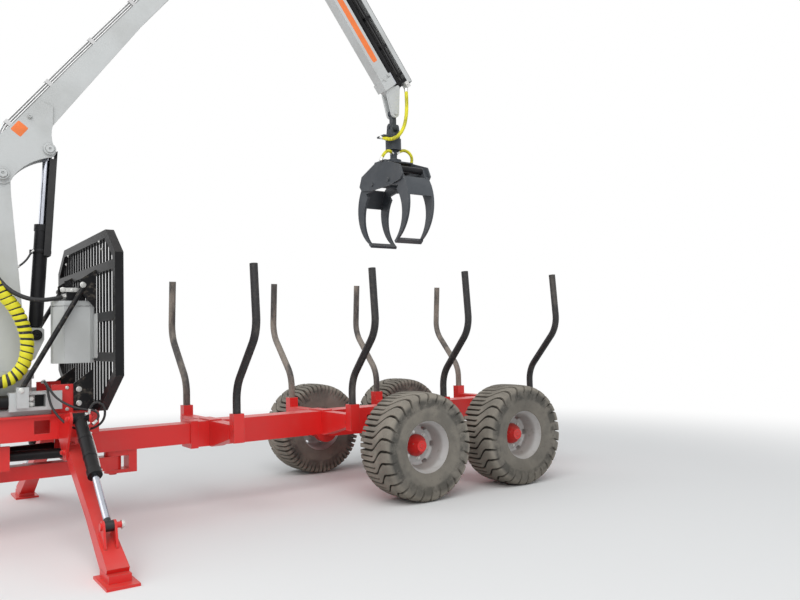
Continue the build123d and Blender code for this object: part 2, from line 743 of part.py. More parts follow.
def crane_base():
    """The slewing housing on its base plate, with the two side boxes."""
    plate = brick((slew_x - 330, slew_x + 360), (-frame_y + 24, frame_y - 24),
                  (frame_top_z, frame_top_z + 40))
    housing = bar((slew_x, 0, frame_top_z + 40), (slew_x, 0, column_bottom_z - side_gap), 190)
    box = brick((slew_x - 262, slew_x), (frame_y - 60, frame_y + 44), (frame_top_z + 34, frame_top_z + 160))
    box += brick((slew_x - 330, slew_x - 262), (frame_y, frame_y + 44),
                 (frame_top_z + 34, frame_top_z + 160))
    window = brick((slew_x - 225, slew_x - 115), (frame_y - 20, frame_y + 60),
                   (frame_top_z + 58, frame_top_z + 142))
    return plate + housing + on_both_sides(box - window)


def slew_cylinders():
    tube = bar((slew_x, frame_y - 10, frame_top_z + 96), (slew_x + 370, frame_y - 10, frame_top_z + 96), 48)
    return on_both_sides(tube)


def column():
    """The slewing column: a tapering box with its head, and the lift cylinder's lugs."""
    half_x = column_size_x / 2
    pivot_x, pivot_z = boom_pivot
    head_half = boom_width / 2 - side_gap
    top_half = column_top_size / 2
    base = Pos(slew_x, 0, column_bottom_z) * Rectangle(column_size_x, column_size_y)
    top = Pos(pivot_x, 0, column_top_z) * Rectangle(column_top_size, 2 * head_half)
    body = loft([base, top], ruled=True)
    head = slab(hull((pivot_x, pivot_z, column_head_r), (pivot_x - top_half + 24, column_top_z, 24),
                     (pivot_x + top_half - 24, column_top_z, 24)), side, -head_half, head_half)
    foot = bar((slew_x, 0, column_bottom_z), (slew_x, 0, column_bottom_z + 60), 205)
    lug_half = lift_eye_width / 2 + side_gap
    root_x, root_z = lift_root
    inside = slew_x - half_x + 60
    lug = slab(Polygon((inside, root_z + 56), (root_x - 40, root_z + 50), (root_x - 52, root_z + 38),
                       (root_x - 52, root_z - 35), (root_x + 10, root_z - 170), (inside, root_z - 229),
                       align=None),
               side, lug_half, lug_half + 22)
    pin = bar((root_x, -lug_half - 30, root_z), (root_x, lug_half + 30, root_z), lift_pin_r)
    pin_half = boom_width / 2 + boom_plate + 24
    boom_pin = bar((pivot_x, -pin_half, pivot_z), (pivot_x, pin_half, pivot_z), crane_pin_r)
    return foot + body + head + lug + mirrored(lug) + pin + boom_pin


def boom_cheek():
    """The hammer-shaped side plate round the boom's foot, with hollow edges between its two eyes."""
    eye = local(boom_plane, lift_eye)
    heel, foot_low, foot_end = (on_circle((0, 0), boom_foot_r, turn) for turn in (160, 235, 296))
    eye_start, eye_low, eye_end = (on_circle(eye, boom_eye_r, turn) for turn in (224, 290, 350))
    low, high = (511, -27), (300, 172)
    edges = [ThreePointArc(heel, foot_low, foot_end), ThreePointArc(foot_end, (170, -79), eye_start),
             ThreePointArc(eye_start, eye_low, eye_end), ThreePointArc(eye_end, (436, -74), low),
             Line(low, (627, 58)), Line((627, 58), (590, 163)), Line((590, 163), high),
             ThreePointArc(high, (60, 140), heel)]
    outline = make_face(Wire(edges))
    half = boom_width / 2
    return slab(outline, boom_plane, half, half + boom_plate)


boom_top = ((boom_box_start, 132), (300, 171), (1033, 157), (boom_length - boom_end_length, 84))
boom_bottom = ((boom_length - boom_end_length, -66), (1660, -4), (852, -19), (511, -26),
               (boom_box_start, 20))


def top_of_boom(u):
    """The height of the boom's upper side at a distance along it."""
    for (u0, v0), (u1, v1) in zip(boom_top, boom_top[1:]):
        if u <= u1:
            break
    return v0 + (v1 - v0) * (u - u0) / (u1 - u0)


def boom():
    """The main boom: side plates at its foot, a tapering box and a fork at the elbow."""
    half = boom_width / 2
    eye = local(boom_plane, lift_eye)
    tip = boom_length
    cheek = boom_cheek()
    box = slab(Polygon(*boom_top, *boom_bottom, align=None), boom_plane, -half, half)
    tongue = slab(hull((tip, 0, 70), (tip - 170, 4, 72)), boom_plane, -half, half)
    bores = slab(Circle(crane_pin_r + pin_gap), boom_plane, -300, 300)
    bores += slab(Pos(tip, 0) * Circle(elbow_pin_r + pin_gap), boom_plane, -300, 300)
    root = (tip - jib_root_back, jib_root_lift)
    lug_half = jib_barrel_r + side_gap
    lug_base = top_of_boom(root[0]) - 40
    lug = slab(hull((root[0], root[1], 36), (root[0] - 90, lug_base, 20), (root[0] + 60, lug_base, 20)),
               boom_plane,
               lug_half, lug_half + 14)
    jib_pin = slab(Pos(*root) * Circle(jib_pin_r), boom_plane, -lug_half - 24, lug_half + 24)
    boss = slab(Pos(*eye) * Circle(26), boom_plane, half + boom_plate, half + boom_plate + 14)
    shape = box + tongue + jib_pin
    for piece in (cheek, lug, boss):
        shape += piece + mirrored(piece)
    return shape - bores


def boom_pipes():
    """Steel pipes stacked in two columns along the boom's back, with the clamps that hold them."""
    first = 232
    last = boom_length - jib_root_back - 130
    rise = pipe_d / 2 + 2
    shape = None
    for row in range(3):
        for y in (-24, 24):
            points = [(u, top_of_boom(u) + rise + row * pipe_pitch) for u in (first, 300, 1033, last)]
            for start, end in zip(points, points[1:]):
                pipe = bar(boom_plane.from_local_coords(Vector(*start, y)),
                           boom_plane.from_local_coords(Vector(*end, y)), pipe_d / 2)
                shape = pipe if shape is None else shape + pipe
    for u in (330, 760, 1240, 1720, last - 40):
        low = top_of_boom(u + 15)
        height = rise + 2 * pipe_pitch + pipe_d / 2 + 4
        block = Polygon((u - 15, top_of_boom(u - 15)), (u + 15, low), (u + 15, low + height),
                        (u - 15, low + height), align=None)
        shape += slab(block, boom_plane, -36, 36)
    return shape


def stick():
    """The stick: elbow cheeks with the horn, and the open tube that guides the extension."""
    half = stick_width / 2
    high = stick_height / 2
    tube = slab(Polygon((stick_start, -high), (stick_length, -high), (stick_length, high),
                        (stick_start, high), align=None),
                stick_plane, -half, half)
    inside = stick_start + 20
    hollow = slab(Polygon((inside, -high + stick_wall), (stick_length + 1, -high + stick_wall),
                          (stick_length + 1, high - stick_wall), (inside, high - stick_wall), align=None),
                  stick_plane, -half + stick_wall, half - stick_wall)
    collar = slab(Polygon((stick_length - 90, -high - 9), (stick_length, -high - 9),
                          (stick_length, high + 9),
                          (stick_length - 90, high + 9), align=None), stick_plane, -half - 9, half + 9)
    lead = math.radians(-horn_lead)
    horn = (horn_r * math.cos(lead), horn_r * math.sin(lead))
    inner = boom_width / 2 + side_gap
    outline = hull((0, 0, 78), (horn[0], horn[1], 48), (stick_start + 110, 0, 62))
    cheek = slab(outline, stick_plane, inner, inner + 16)
    pin = slab(Circle(elbow_pin_r), stick_plane, -inner - 34, inner + 34)
    boss = slab(Pos(*horn) * Circle(30), stick_plane, inner + 16, inner + 30)
    packing = slab(Polygon((stick_start, -high + 8), (stick_start + 150, -high + 8),
                           (stick_start + 150, high - 8), (stick_start, high - 8), align=None),
                   stick_plane, half, inner)
    shape = tube - hollow + (collar - hollow)
    for piece in (cheek, packing, boss):
        shape += piece + mirrored(piece)
    return shape + pin


def extension():
    """The sliding inner beam, with the bent nose that carries the grapple."""
    half = stick_width / 2 - stick_wall - extension_gap
    high = stick_height / 2 - stick_wall - extension_gap
    pin = local(stick_plane, tip_pin)
    beam = slab(Polygon((stick_start + 40, -high), (stick_length + 30, -high), (stick_length + 30, high),
                        (stick_start + 40, high), align=None),
                stick_plane, -half, half)
    nose = hull((pin[0], pin[1], 44), (stick_length + 40, high + 36, 22),
                (stick_length + 40, -high + 10, 22))
    cheek = slab(nose, stick_plane, 27 + side_gap, half)
    web = slab(hull((stick_length + 34, high - 10, 26), (stick_length + 34, -high + 28, 26),
                    (stick_length + 120, -8, 16)), stick_plane, -half, half)
    keep = slab(Pos(*pin) * Circle(60), stick_plane, -27 - side_gap, 27 + side_gap)
    pivot = slab(Pos(*pin) * Circle(tip_pin_r), stick_plane, -half - 14, half + 14)
    lug = slab(hull((stick_length + 40, high + 60, 24), (stick_length + 40, high - 10, 24)), stick_plane,
               -26, 26)
    return beam + (web - keep) + cheek + mirrored(cheek) + pivot + lug


def extension_cylinder():
    """The barrel on the stick's upper side and the rod that pushes the extension out."""
    y = stick_height / 2 + 60
    start = 360
    end = stick_length - 120
    centre = Plane(origin=stick_plane.from_local_coords(Vector(start, y, 0)), z_dir=stick_plane.x_dir)
    tube = extrude(centre * Circle(extension_barrel_r), amount=end - start)
    bore = extrude(centre.offset(40) * Circle(extension_rod_r + pin_gap), amount=end - start)
    barrel = tube - bore
    for u in (start + 20, end - 60):
        barrel += slab(Polygon((u, stick_height / 2 + seat_gap), (u + 40, stick_height / 2 + seat_gap),
                               (u + 40, y),
                               (u, y), align=None), stick_plane, -30, 30) - bore
    rod_start = end - extension_travel - 120
    rod_end = stick_length + 16 - seat_gap
    rod_plane = Plane(origin=stick_plane.from_local_coords(Vector(rod_start, y, 0)), z_dir=stick_plane.x_dir)
    rod = extrude(rod_plane * Circle(extension_rod_r), amount=rod_end - rod_start)
    return barrel, rod


def jib_cylinder():
    root = to_world(boom_plane, (boom_length - jib_root_back, jib_root_lift))
    lead = math.radians(-horn_lead)
    eye = to_world(stick_plane, (horn_r * math.cos(lead), horn_r * math.sin(lead)))
    root = (root[0], 0, root[1])
    eye = (eye[0], 0, eye[1])
    axis = Vector(0, 1, 0)
    barrel = cylinder_barrel(root, eye, jib_barrel_length, jib_barrel_r, jib_rod_r, jib_pin_r,
                             2 * jib_barrel_r, axis)
    rod = cylinder_rod(root, eye, jib_barrel_length, jib_rod_r, 34, boom_width, axis, 560)
    return barrel, rod


def lift_cylinder():
    root = (lift_root[0], 0, lift_root[1])
    eye = (lift_eye[0], 0, lift_eye[1])
    axis = Vector(0, 1, 0)
    barrel = cylinder_barrel(root, eye, lift_barrel_length, lift_barrel_r, lift_rod_r, lift_pin_r,
                             lift_eye_width, axis)
    rod = cylinder_rod(root, eye, lift_barrel_length, lift_rod_r, 40, boom_width - 2 * seat_gap, axis,
                       lift_rod_reach)
    return barrel, rod + rod_guard()


def rod_guard():
    """The folded plate that covers the lift rod's rear side, held at the rod's eye."""
    run = Vector(lift_root[0] - lift_eye[0], 0, lift_root[1] - lift_eye[1])
    plane = Plane(origin=(lift_eye[0], 0, lift_eye[1]), x_dir=run, z_dir=(0, 1, 0))
    shape = slab(rectangle((-12, guard_length), (guard_high - guard_wall, guard_high)), plane,
                 -guard_half_width,
                 guard_half_width)
    flange = slab(rectangle((50, guard_length), (guard_low, guard_high)), plane,
                  guard_half_width - guard_wall,
                  guard_half_width)
    bracket = slab(rectangle((-12, 12), (30, guard_high - 1)), plane, -25, 25)
    return shape + flange + mirrored(flange) + bracket


def tip_link():
    """The short link between the nose and the rotator, its two pins at right angles."""
    x, z = tip_pin
    upper = slab(Pos(x, z) * Circle(38), side, -27, 27)
    lower = bar((x - 27, 0, swing_z), (x + 27, 0, swing_z), 34)
    body = brick((x - 24, x + 24), (-24, 24), (swing_z, z))
    bore = slab(Pos(x, z) * Circle(tip_pin_r + pin_gap), side, -60, 60)
    cross = bar((x - 60, 0, swing_z), (x + 60, 0, swing_z), tip_pin_r + pin_gap)
    return upper + lower + body - bore - cross


def rotator():
    """The rotator: a fork on the link's lower pin and the motor housing below it."""
    x = tip_pin[0]
    fork = hull((0, swing_z, 36), (-30, swing_z - 90, 20), (30, swing_z - 90, 20))
    cheek_in = 27 + side_gap
    cheeks = slab(fork, across, x + cheek_in, x + cheek_in + 20) + slab(fork, across, x - cheek_in - 20,
                                                                        x - cheek_in)
    pin = bar((x - cheek_in - 30, 0, swing_z), (x + cheek_in + 30, 0, swing_z), tip_pin_r)
    head = bar((x, 0, swing_z - 115), (x, 0, swing_z - 70), 64)
    bowl = bar((x, 0, rotator_bottom_z), (x, 0, swing_z - 115), rotator_bowl_r)
    shelf = brick((x + 30, x + 150), (-60, 60), (swing_z - 112, swing_z - 96))
    return cheeks + pin + head + bowl + shelf


def grapple_frame():
    """The grapple's head: a neck and flange, a top plate, two end plates and the jaw pins."""
    x = tip_pin[0]
    top_z = grapple_top_z - 10
    neck = bar((x, 0, top_z), (x, 0, rotator_bottom_z - side_gap), 34)
    flange = bar((x, 0, top_z), (x, 0, top_z + 24), 74)
    inner = tine_x + side_gap
    outer = inner + grapple_plate
    top = brick((x - outer, x + outer), (-90, 90), (top_z - 14, top_z))
    end = Polygon((60, top_z), (330, top_z - 96), (372, 2835), (335, 2790), (150, 2764), (-150, 2764),
                  (-335, 2790), (-372, 2835), (-330, top_z - 96), (-60, top_z), align=None)
    ends = slab(end, across, x + inner, x + outer) + slab(end, across, x - outer, x - inner)
    reach = outer + 10
    pin = bar((x - reach, jaw_pivot_y, jaw_pivot_z), (x + reach, jaw_pivot_y, jaw_pivot_z), jaw_pin_r)
    return neck + flange + top + ends + on_both_sides(pin)


def jaw():
    """The left jaw: two curved tines joined by a shell, with ears for the cylinder."""
    x = tip_pin[0]
    front = CenterArc((0, log_z), log_r, -54, 94)
    back = CenterArc(tine_back, tine_back_r, -66, 106)
    tine = make_face(Wire([front, Line(front @ 1, back @ 1), back, Line(back @ 0, front @ 0)]))
    root = hull((jaw_pivot_y, jaw_pivot_z, 46), (ear_y, ear_z, 32), (305, 2790, 42))
    profile = tine + root
    shape = slab(profile, across, x + tine_x - tine_thickness, x + tine_x)
    shape += slab(profile, across, x - tine_x, x - tine_x + tine_thickness)
    shell = make_face(Wire(ring_edges(tine_back, tine_back_r - 14, tine_back_r, 8, 37)))
    tip_bar = make_face(Wire(ring_edges((0, log_z), log_r, log_r + 26, -54, -46)))
    for piece in (shell, tip_bar):
        shape += slab(piece, across, x - tine_x, x + tine_x)
    bore = bar((x - 2 * tine_x, jaw_pivot_y, jaw_pivot_z), (x + 2 * tine_x, jaw_pivot_y, jaw_pivot_z),
               jaw_pin_r + pin_gap)
    return shape - bore


def ear_pin():
    """The pin between the left jaw's ears, for the root of the grapple cylinder."""
    x = tip_pin[0]
    return bar((x - tine_x, ear_y, ear_z), (x + tine_x, ear_y, ear_z), ear_pin_r)


def ring_edges(centre, inner, outer, low, high):
    """The four edges of a piece of a ring between two radii and two angles."""
    near = CenterArc(centre, inner, low, high - low)
    far = CenterArc(centre, outer, low, high - low)
    return [near, Line(near @ 1, far @ 1), far, Line(far @ 0, near @ 0)]


def grapple_cylinder():
    x = tip_pin[0]
    root = (x, ear_y, ear_z)
    eye = (x, -ear_y, ear_z)
    axis = Vector(1, 0, 0)
    width = 2 * (tine_x - tine_thickness - side_gap)
    barrel = cylinder_barrel(root, eye, grapple_barrel_length, grapple_barrel_r, grapple_rod_r, ear_pin_r,
                             width,
                             axis)
    rod = cylinder_rod(root, eye, grapple_barrel_length, grapple_rod_r, 28, width, axis, 100)
    return barrel, rod


# fittings

def control_box():
    """The faceted oil tank behind the headboard's left half."""
    low_x = headboard_x + headboard_tube / 2 + seat_gap
    outline = make_face(Polyline((low_x, 150), (low_x, 340), (low_x + 30, 360), (low_x + 200, 360),
                                 (low_x + 262, 300), (low_x + 262, 215), (low_x + 205, 150), close=True))
    return slab(outline, level, 1205, 1600) + slab(offset(outline, amount=-6), level, 1600, 1606) + \
        slab(outline, level, 1606, 1640)


def control_valve():
    """The valve block with its hand levers."""
    x = bogie_x + 3050
    shape = brick((x - 60, x + 60), (160, 350), (1640, 1700))
    for index in range(5):
        y = 180 + index * 36
        shape += bar((x, y, 1700), (x + 40, y, 1790), 6)
    return shape


def lamps():
    """The lamp bar at the rear and the reflectors on the first bunk's sockets."""
    bar_x = beam_rear_x
    shape = brick((bar_x - 20, bar_x), (-560, 560), (beam_top_z - 150, beam_top_z - 90))
    lamp = brick((bar_x - 60, bar_x - 20), (400, 560), (beam_top_z - 160, beam_top_z - 80))
    return shape + on_both_sides(lamp)


def reflector():
    """The round reflector on the front of the first bunk's left socket."""
    x = bogie_x + bunk_offsets[0] + pocket_outer / 2
    z = (pocket_top_z + pocket_bottom_z) / 2
    return bar((x, pocket_y, z), (x + 6, pocket_y, z), 30)


def build():
    os.makedirs("parts", exist_ok=True)
    wheels()
    write("bogie_left", bogie(1))
    write("bogie_right", bogie(-1))
    write("axle_mount", axle_mount())
    write("main_beam", main_beam())
    write("bunks", *[bunk(offset) for offset in bunk_offsets])
    stakes = [stake(offset) for offset in bunk_offsets]
    write("stakes", *stakes, *[mirrored(piece) for piece in stakes])
    write("headboard", headboard())
    write("headboard_stays", *headboard_stays())
    write("front_frame", front_frame())
    write("leg_brackets", leg_bracket(), mirrored(leg_bracket()))
    write("steer_brackets", steer_bracket(), mirrored(steer_bracket()))
    legs()
    write("drawbar", drawbar())
    write("drawbar_tray", drawbar_tray())
    steering()
    write("crane_base", crane_base())
    write("slew_cylinders", slew_cylinders())
    write("column", column())
    write("boom", boom())
    write("boom_pipes", boom_pipes())
    write("stick", stick())
    write("extension", extension())
    for name, pair in (("extension", extension_cylinder()), ("jib", jib_cylinder()),
                       ("lift", lift_cylinder()),
                       ("grapple", grapple_cylinder())):
        write(name + "_barrel", pair[0])
        write(name + "_rod", pair[1])
    write("tip_link", tip_link())
    write("rotator", rotator())
    write("grapple_frame", grapple_frame())
    one_jaw = jaw()
    write("jaw_left", one_jaw + ear_pin())
    write("jaw_right", mirrored(one_jaw))
    write("control_box", control_box())
    write("control_valve", control_valve())
    write("lamps", lamps(), reflector(), mirrored(reflector()))


build()
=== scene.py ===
import json
import math
import bmesh
import bpy
import numpy as np
from mathutils import Matrix, Vector


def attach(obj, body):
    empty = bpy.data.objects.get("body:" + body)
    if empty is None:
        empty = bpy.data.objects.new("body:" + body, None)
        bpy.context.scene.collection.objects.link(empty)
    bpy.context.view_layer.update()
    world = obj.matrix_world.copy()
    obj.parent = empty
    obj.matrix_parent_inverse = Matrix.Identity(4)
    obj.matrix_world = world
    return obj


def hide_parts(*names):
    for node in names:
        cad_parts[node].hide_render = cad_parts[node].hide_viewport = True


# timber trailer with a loading crane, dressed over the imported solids
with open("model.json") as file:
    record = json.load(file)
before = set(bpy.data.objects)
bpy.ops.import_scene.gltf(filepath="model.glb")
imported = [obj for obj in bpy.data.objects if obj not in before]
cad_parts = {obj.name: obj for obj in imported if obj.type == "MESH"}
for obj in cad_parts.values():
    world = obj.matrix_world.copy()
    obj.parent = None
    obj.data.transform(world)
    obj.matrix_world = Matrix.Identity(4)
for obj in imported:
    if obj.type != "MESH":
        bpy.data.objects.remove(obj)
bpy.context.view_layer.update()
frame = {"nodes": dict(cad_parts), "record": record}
nodes = frame["nodes"]
print("frame loaded:", len(nodes), "nodes")

collection = bpy.context.scene.collection

# place in metres, turns in degrees, lens and sensor in millimetres
cameraSpec = dict(place=(2.532, 6.004, 1.328), yaw=-124.953, pitch=2.832, roll=-1.386, lens=34.156, sensor=36)


def makeCamera(spec):
    # yaw and pitch give the view's direction, and its sideways and upward directions are rolled about it
    yaw, pitch, roll = (math.radians(spec[k]) for k in ("yaw", "pitch", "roll"))
    ahead = Vector((math.cos(pitch) * math.cos(yaw), math.cos(pitch) * math.sin(yaw), math.sin(pitch)))
    right = Vector((math.sin(yaw), -math.cos(yaw), 0))
    up = right.cross(ahead)
    x = right * math.cos(roll) + up * math.sin(roll)
    y = up * math.cos(roll) - right * math.sin(roll)
    data = bpy.data.cameras.new("photoCamera")
    data.sensor_fit = "HORIZONTAL"
    data.sensor_width = spec["sensor"]
    data.lens = spec["lens"]
    camera = bpy.data.objects.new("photoCamera", data)
    turn = Matrix((x, y, -ahead)).transposed().to_4x4()
    camera.matrix_world = Matrix.Translation(spec["place"]) @ turn
    collection.objects.link(camera)
    bpy.context.scene.camera = camera


makeCamera(cameraSpec)
bpy.context.scene.view_settings.view_transform = "Standard"


# a socket that takes part in sums, so that a mask reads like a formula
class Sock:
    def __init__(self, mat, link):
        self.mat, self.link = mat, link

    def math(self, kind, *others):
        return self.mat.node("ShaderNodeMath", dict(operation=kind), dict(enumerate((self, *others))))

    def above(self, low, high):
        # 0 up to low, 1 from high on, and a smooth step between them
        return self.mat.node("ShaderNodeMapRange", dict(interpolation_type="SMOOTHSTEP"),
                             {0: self, 1: low, 2: high, 3: 0.0, 4: 1.0})

    def __add__(self, other):
        return self.math("ADD", other)

    def __sub__(self, other):
        return self.math("SUBTRACT", other)

    def __rsub__(self, other):
        return self.mat.node("ShaderNodeMath", dict(operation="SUBTRACT"), {0: other, 1: self})

    def __mul__(self, other):
        return self.math("MULTIPLY", other)

    def __pow__(self, other):
        return self.math("POWER", other)

    __radd__ = __add__
    __rmul__ = __mul__


class Finish:
    def __init__(self, name):
        self.data = bpy.data.materials.new(name)
        self.data.use_nodes = True
        self.tree = self.data.node_tree
        self.shader = self.tree.nodes["Principled BSDF"]
        self.place = self.node("ShaderNodeTexCoord", {}, {}, "Object")

    def node(self, kind, settings, inputs, output=0):
        made = self.tree.nodes.new(kind)
        for key, value in settings.items():
            setattr(made, key, value)
        for key, value in inputs.items():
            self.feed(made.inputs[key], value)
        return Sock(self, made.outputs[output])

    def feed(self, socket, value):
        if isinstance(value, Sock):
            self.tree.links.new(value.link, socket)
        elif socket.type == "RGBA":
            socket.default_value = (*value, 1)
        else:
            socket.default_value = value

    def noise(self, scale, detail, rough, stretch=None):
        where = self.place
        if stretch:
            where = self.node("ShaderNodeMapping", {}, {"Vector": where, "Scale": stretch})
        return self.node("ShaderNodeTexNoise", {}, {"Vector": where, "Scale": scale, "Detail": detail,
                                                    "Roughness": rough})

    def axis(self, name):
        return self.node("ShaderNodeSeparateXYZ", {}, {0: self.place}, name)

    def mix(self, share, low, high):
        # a Mix node takes colours at sockets 6 and 7 and gives one at 2
        return self.node("ShaderNodeMix", dict(data_type="RGBA"), {0: share, 6: low, 7: high}, 2)

    def edge(self, radius=0.006):
        # how far the normal that is rounded over a radius leaves the flat one: 1 - their dot product
        rounded = self.node("ShaderNodeBevel", dict(samples=4), {"Radius": radius})
        flat = self.node("ShaderNodeNewGeometry", {}, {}, "Normal")
        dot = self.node("ShaderNodeVectorMath", dict(operation="DOT_PRODUCT"), {0: rounded, 1: flat}, "Value")
        return (1 - dot).above(0.01, 0.14)

    def upward(self):
        # faces that look up, where dust settles
        normal = self.node("ShaderNodeNewGeometry", {}, {}, "Normal")
        return self.node("ShaderNodeSeparateXYZ", {}, {0: normal}, "Z").above(0.55, 0.98)

    def bump(self, height, strength, distance):
        return self.node("ShaderNodeBump", {}, {"Height": height, "Strength": strength, "Distance": distance})

    def end(self, **sockets):
        for key, value in sockets.items():
            self.feed(self.shader.inputs[key.replace("_", " ")], value)
        return self.data


# where the wheels stand: the bogies' middle, half their wheelbase, the tyres' middle plane, the axles' height
bogieX, wheelGap, trackHalf, wheelZ = -1.700, 0.5325, 0.8885, 0.440
# the second colour is one dark colour for the rims' painted shade and their dirt
dustColour, shadeAndGrimeColour = (0.34, 0.29, 0.23), (0.13, 0.115, 0.095)
paintSpec = {
    "red": dict(base=(0.70, 0.014, 0.012), faded=(0.62, 0.026, 0.022), wear=(0.24, 0.13, 0.10), dust=0.20,
                rough=0.34),
    "grey": dict(base=(0.53, 0.545, 0.54), faded=(0.44, 0.45, 0.44), wear=(0.20, 0.19, 0.18), dust=0.22,
                 rough=0.42),
    "rim": dict(base=(0.50, 0.50, 0.49), faded=(0.42, 0.415, 0.40), wear=(0.25, 0.22, 0.19), dust=0.30,
                rough=0.42),
    "dark": dict(base=(0.036, 0.042, 0.050), faded=(0.075, 0.082, 0.090), wear=(0.24, 0.24, 0.24), dust=0.22,
                 rough=0.45, specular=0.3, coat=0.0),
    "black": dict(base=(0.006, 0.006, 0.007), faded=(0.016, 0.016, 0.018), wear=(0.07, 0.07, 0.07), dust=0.06,
                  rough=0.36, specular=0.18, coat=0.0),
}
# how much of the wear's colour shows on edges and in scratches, of the dust in patches, and what roughens
wearSpec = dict(edge=0.9, scratch=0.35, patch=0.4, dustRough=0.4, fineRough=0.08)


def wheelRadius(f):
    # distance from the nearest wheel's axle: the four wheels are folded onto one
    x = (f.axis("X") - bogieX).math("ABSOLUTE") - wheelGap
    z = f.axis("Z") - wheelZ
    return (x * x + z * z) ** 0.5


def paint(name, spec, shadeAndGrime=None):
    # broad fading, worn edges, scratches and dust; the optional function of f adds painted shade and dirt, in
    # one dark colour, where it returns more than 0
    f = Finish(name)
    broad = f.noise(1.7, 5.0, 0.6)
    fine = f.noise(38.0, 6.0, 0.65)
    scratch = f.noise(9.0, 8.0, 0.72, stretch=(1, 1, 5)).above(0.66, 0.74)
    worn = f.edge() * fine.above(0.42, 0.62)
    colour = f.mix(broad.above(0.38, 0.72), spec["base"], spec["faded"])
    colour = f.mix(scratch * wearSpec["scratch"], colour, spec["wear"])
    colour = f.mix(worn * wearSpec["edge"], colour, spec["wear"])
    top = f.upward() * (0.35 + f.noise(5.0, 6.0, 0.65).above(0.35, 0.75) * 0.65)
    patches = f.noise(3.1, 7.0, 0.7).above(0.50, 0.78) * wearSpec["patch"]
    share = (top + patches) * spec["dust"]
    colour = f.mix(share, colour, dustColour)
    # painted shade and dirt, mixed towards the one dark colour
    if shadeAndGrime:
        colour = f.mix(shadeAndGrime(f), colour, shadeAndGrimeColour)
    rough = spec["rough"] + share * wearSpec["dustRough"] + fine * wearSpec["fineRough"]
    return f.end(Base_Color=colour, Roughness=rough, Normal=f.bump(fine, 0.12, 0.0015), Coat_Roughness=0.25,
                 Coat_Weight=spec.get("coat", 0.15), Specular_IOR_Level=spec.get("specular", 0.5))


def rimShadeAndGrime(f):
    # a ring of painted shade where the disc meets the hub's flange, and loose patches of dirt
    ring = 1 - (wheelRadius(f) - 0.172).math("ABSOLUTE").above(0.006, 0.022)
    return ring * 0.45 + f.noise(14.0, 6.0, 0.65).above(0.50, 0.72) * 0.25


def metal(name, base, rough, grain=0.15):
    # fine lines and broad smears, 0.55 as bright as the base
    f = Finish(name)
    lines = f.noise(60.0, 4.0, 0.6, stretch=(6, 6, 1))
    smear = f.noise(4.0, 5.0, 0.6)
    colour = f.mix(smear.above(0.5, 0.8) * 0.3, base, tuple(c * 0.55 for c in base))
    return f.end(Base_Color=colour, Metallic=1.0, Roughness=rough + lines * grain,
                 Normal=f.bump(lines, 0.05, 0.0005))


# colours, then smooth steps in metres: off the tyre's middle plane, from the axle, and over the ground
rubberSpec = dict(mud=(0.190, 0.172, 0.145), dryMud=(0.300, 0.272, 0.228), wall=(0.115, 0.110, 0.098),
                  speck=(0.085, 0.078, 0.067), smudge=(0.060, 0.058, 0.053), grooveShade=(0.050, 0.046, 0.038),
                  darkNearGround=(0.120, 0.105, 0.083), treadEdge=(0.150, 0.186), grooveTop=(0.419, 0.4335),
                  wallTop=(0.385, 0.410), smudgeInside=(0.300, 0.325), smudgeOutside=(0.372, 0.398),
                  darkNearGroundTop=(0.02, 0.30))


def rubber(name, spec):
    # dried mud on the lugs, painted shade in the grooves below them, a smudged dark band on the sidewall, and
    # darker towards the ground
    f = Finish(name)
    broad = f.noise(3.4, 6.0, 0.62)
    fine = f.noise(30.0, 7.0, 0.7)
    radius = wheelRadius(f)
    tread = 1 - (f.axis("Y").math("ABSOLUTE") - trackHalf).math("ABSOLUTE").above(*spec["treadEdge"])
    # painted shade in the grooves: the tread below the lugs' tops
    grooveShade = tread * (1 - radius.above(*spec["grooveTop"]))
    wall = (1 - tread) * (1 - radius.above(*spec["wallTop"]))
    band = radius.above(*spec["smudgeInside"]) * (1 - radius.above(*spec["smudgeOutside"]))
    smudge = band * f.noise(8.0, 7.0, 0.68).above(0.40, 0.60) * (1 - tread)
    # darker towards the ground, fading out 0.3 m above it
    low = 1 - f.axis("Z").above(*spec["darkNearGroundTop"])
    colour = f.mix(broad.above(0.35, 0.7), spec["mud"], spec["dryMud"])
    colour = f.mix(wall * (0.35 + f.noise(5.5, 6.0, 0.6).above(0.42, 0.66) * 0.4), colour, spec["wall"])
    colour = f.mix(fine.above(0.54, 0.76) * 0.5, colour, spec["speck"])
    colour = f.mix(smudge * 0.75, colour, spec["smudge"])
    colour = f.mix(grooveShade * 0.80, colour, spec["grooveShade"])
    colour = f.mix(low * 0.35, colour, spec["darkNearGround"])
    return f.end(Base_Color=colour, Roughness=0.82 + fine * 0.12, Normal=f.bump(fine, 0.35, 0.003),
                 Specular_IOR_Level=0.25)


stakeSpec = dict(brown=(0.045, 0.042, 0.040), bare=(0.25, 0.215, 0.18), black=(0.010, 0.010, 0.011),
                 blackWorn=(0.085, 0.075, 0.066), speck=(0.10, 0.085, 0.07))


def wornSteel(name, spec):
    # black stakes rubbed by their loads: the right row is worn to brown-grey, the left one is nearly black
    f = Finish(name)
    broad = f.noise(6.0, 6.0, 0.65, stretch=(1, 1, 0.35))
    fine = f.noise(45.0, 6.0, 0.7)
    left = f.axis("Y").above(-0.1, 0.1)
    colour = f.mix(left, f.mix(broad.above(0.36, 0.60), spec["brown"], spec["bare"]),
                   f.mix(broad.above(0.52, 0.72), spec["black"], spec["blackWorn"]))
    colour = f.mix(fine.above(0.5, 0.72) * 0.45, colour, spec["speck"])
    return f.end(Base_Color=colour, Roughness=0.42 + fine * 0.3, Normal=f.bump(fine, 0.2, 0.002))


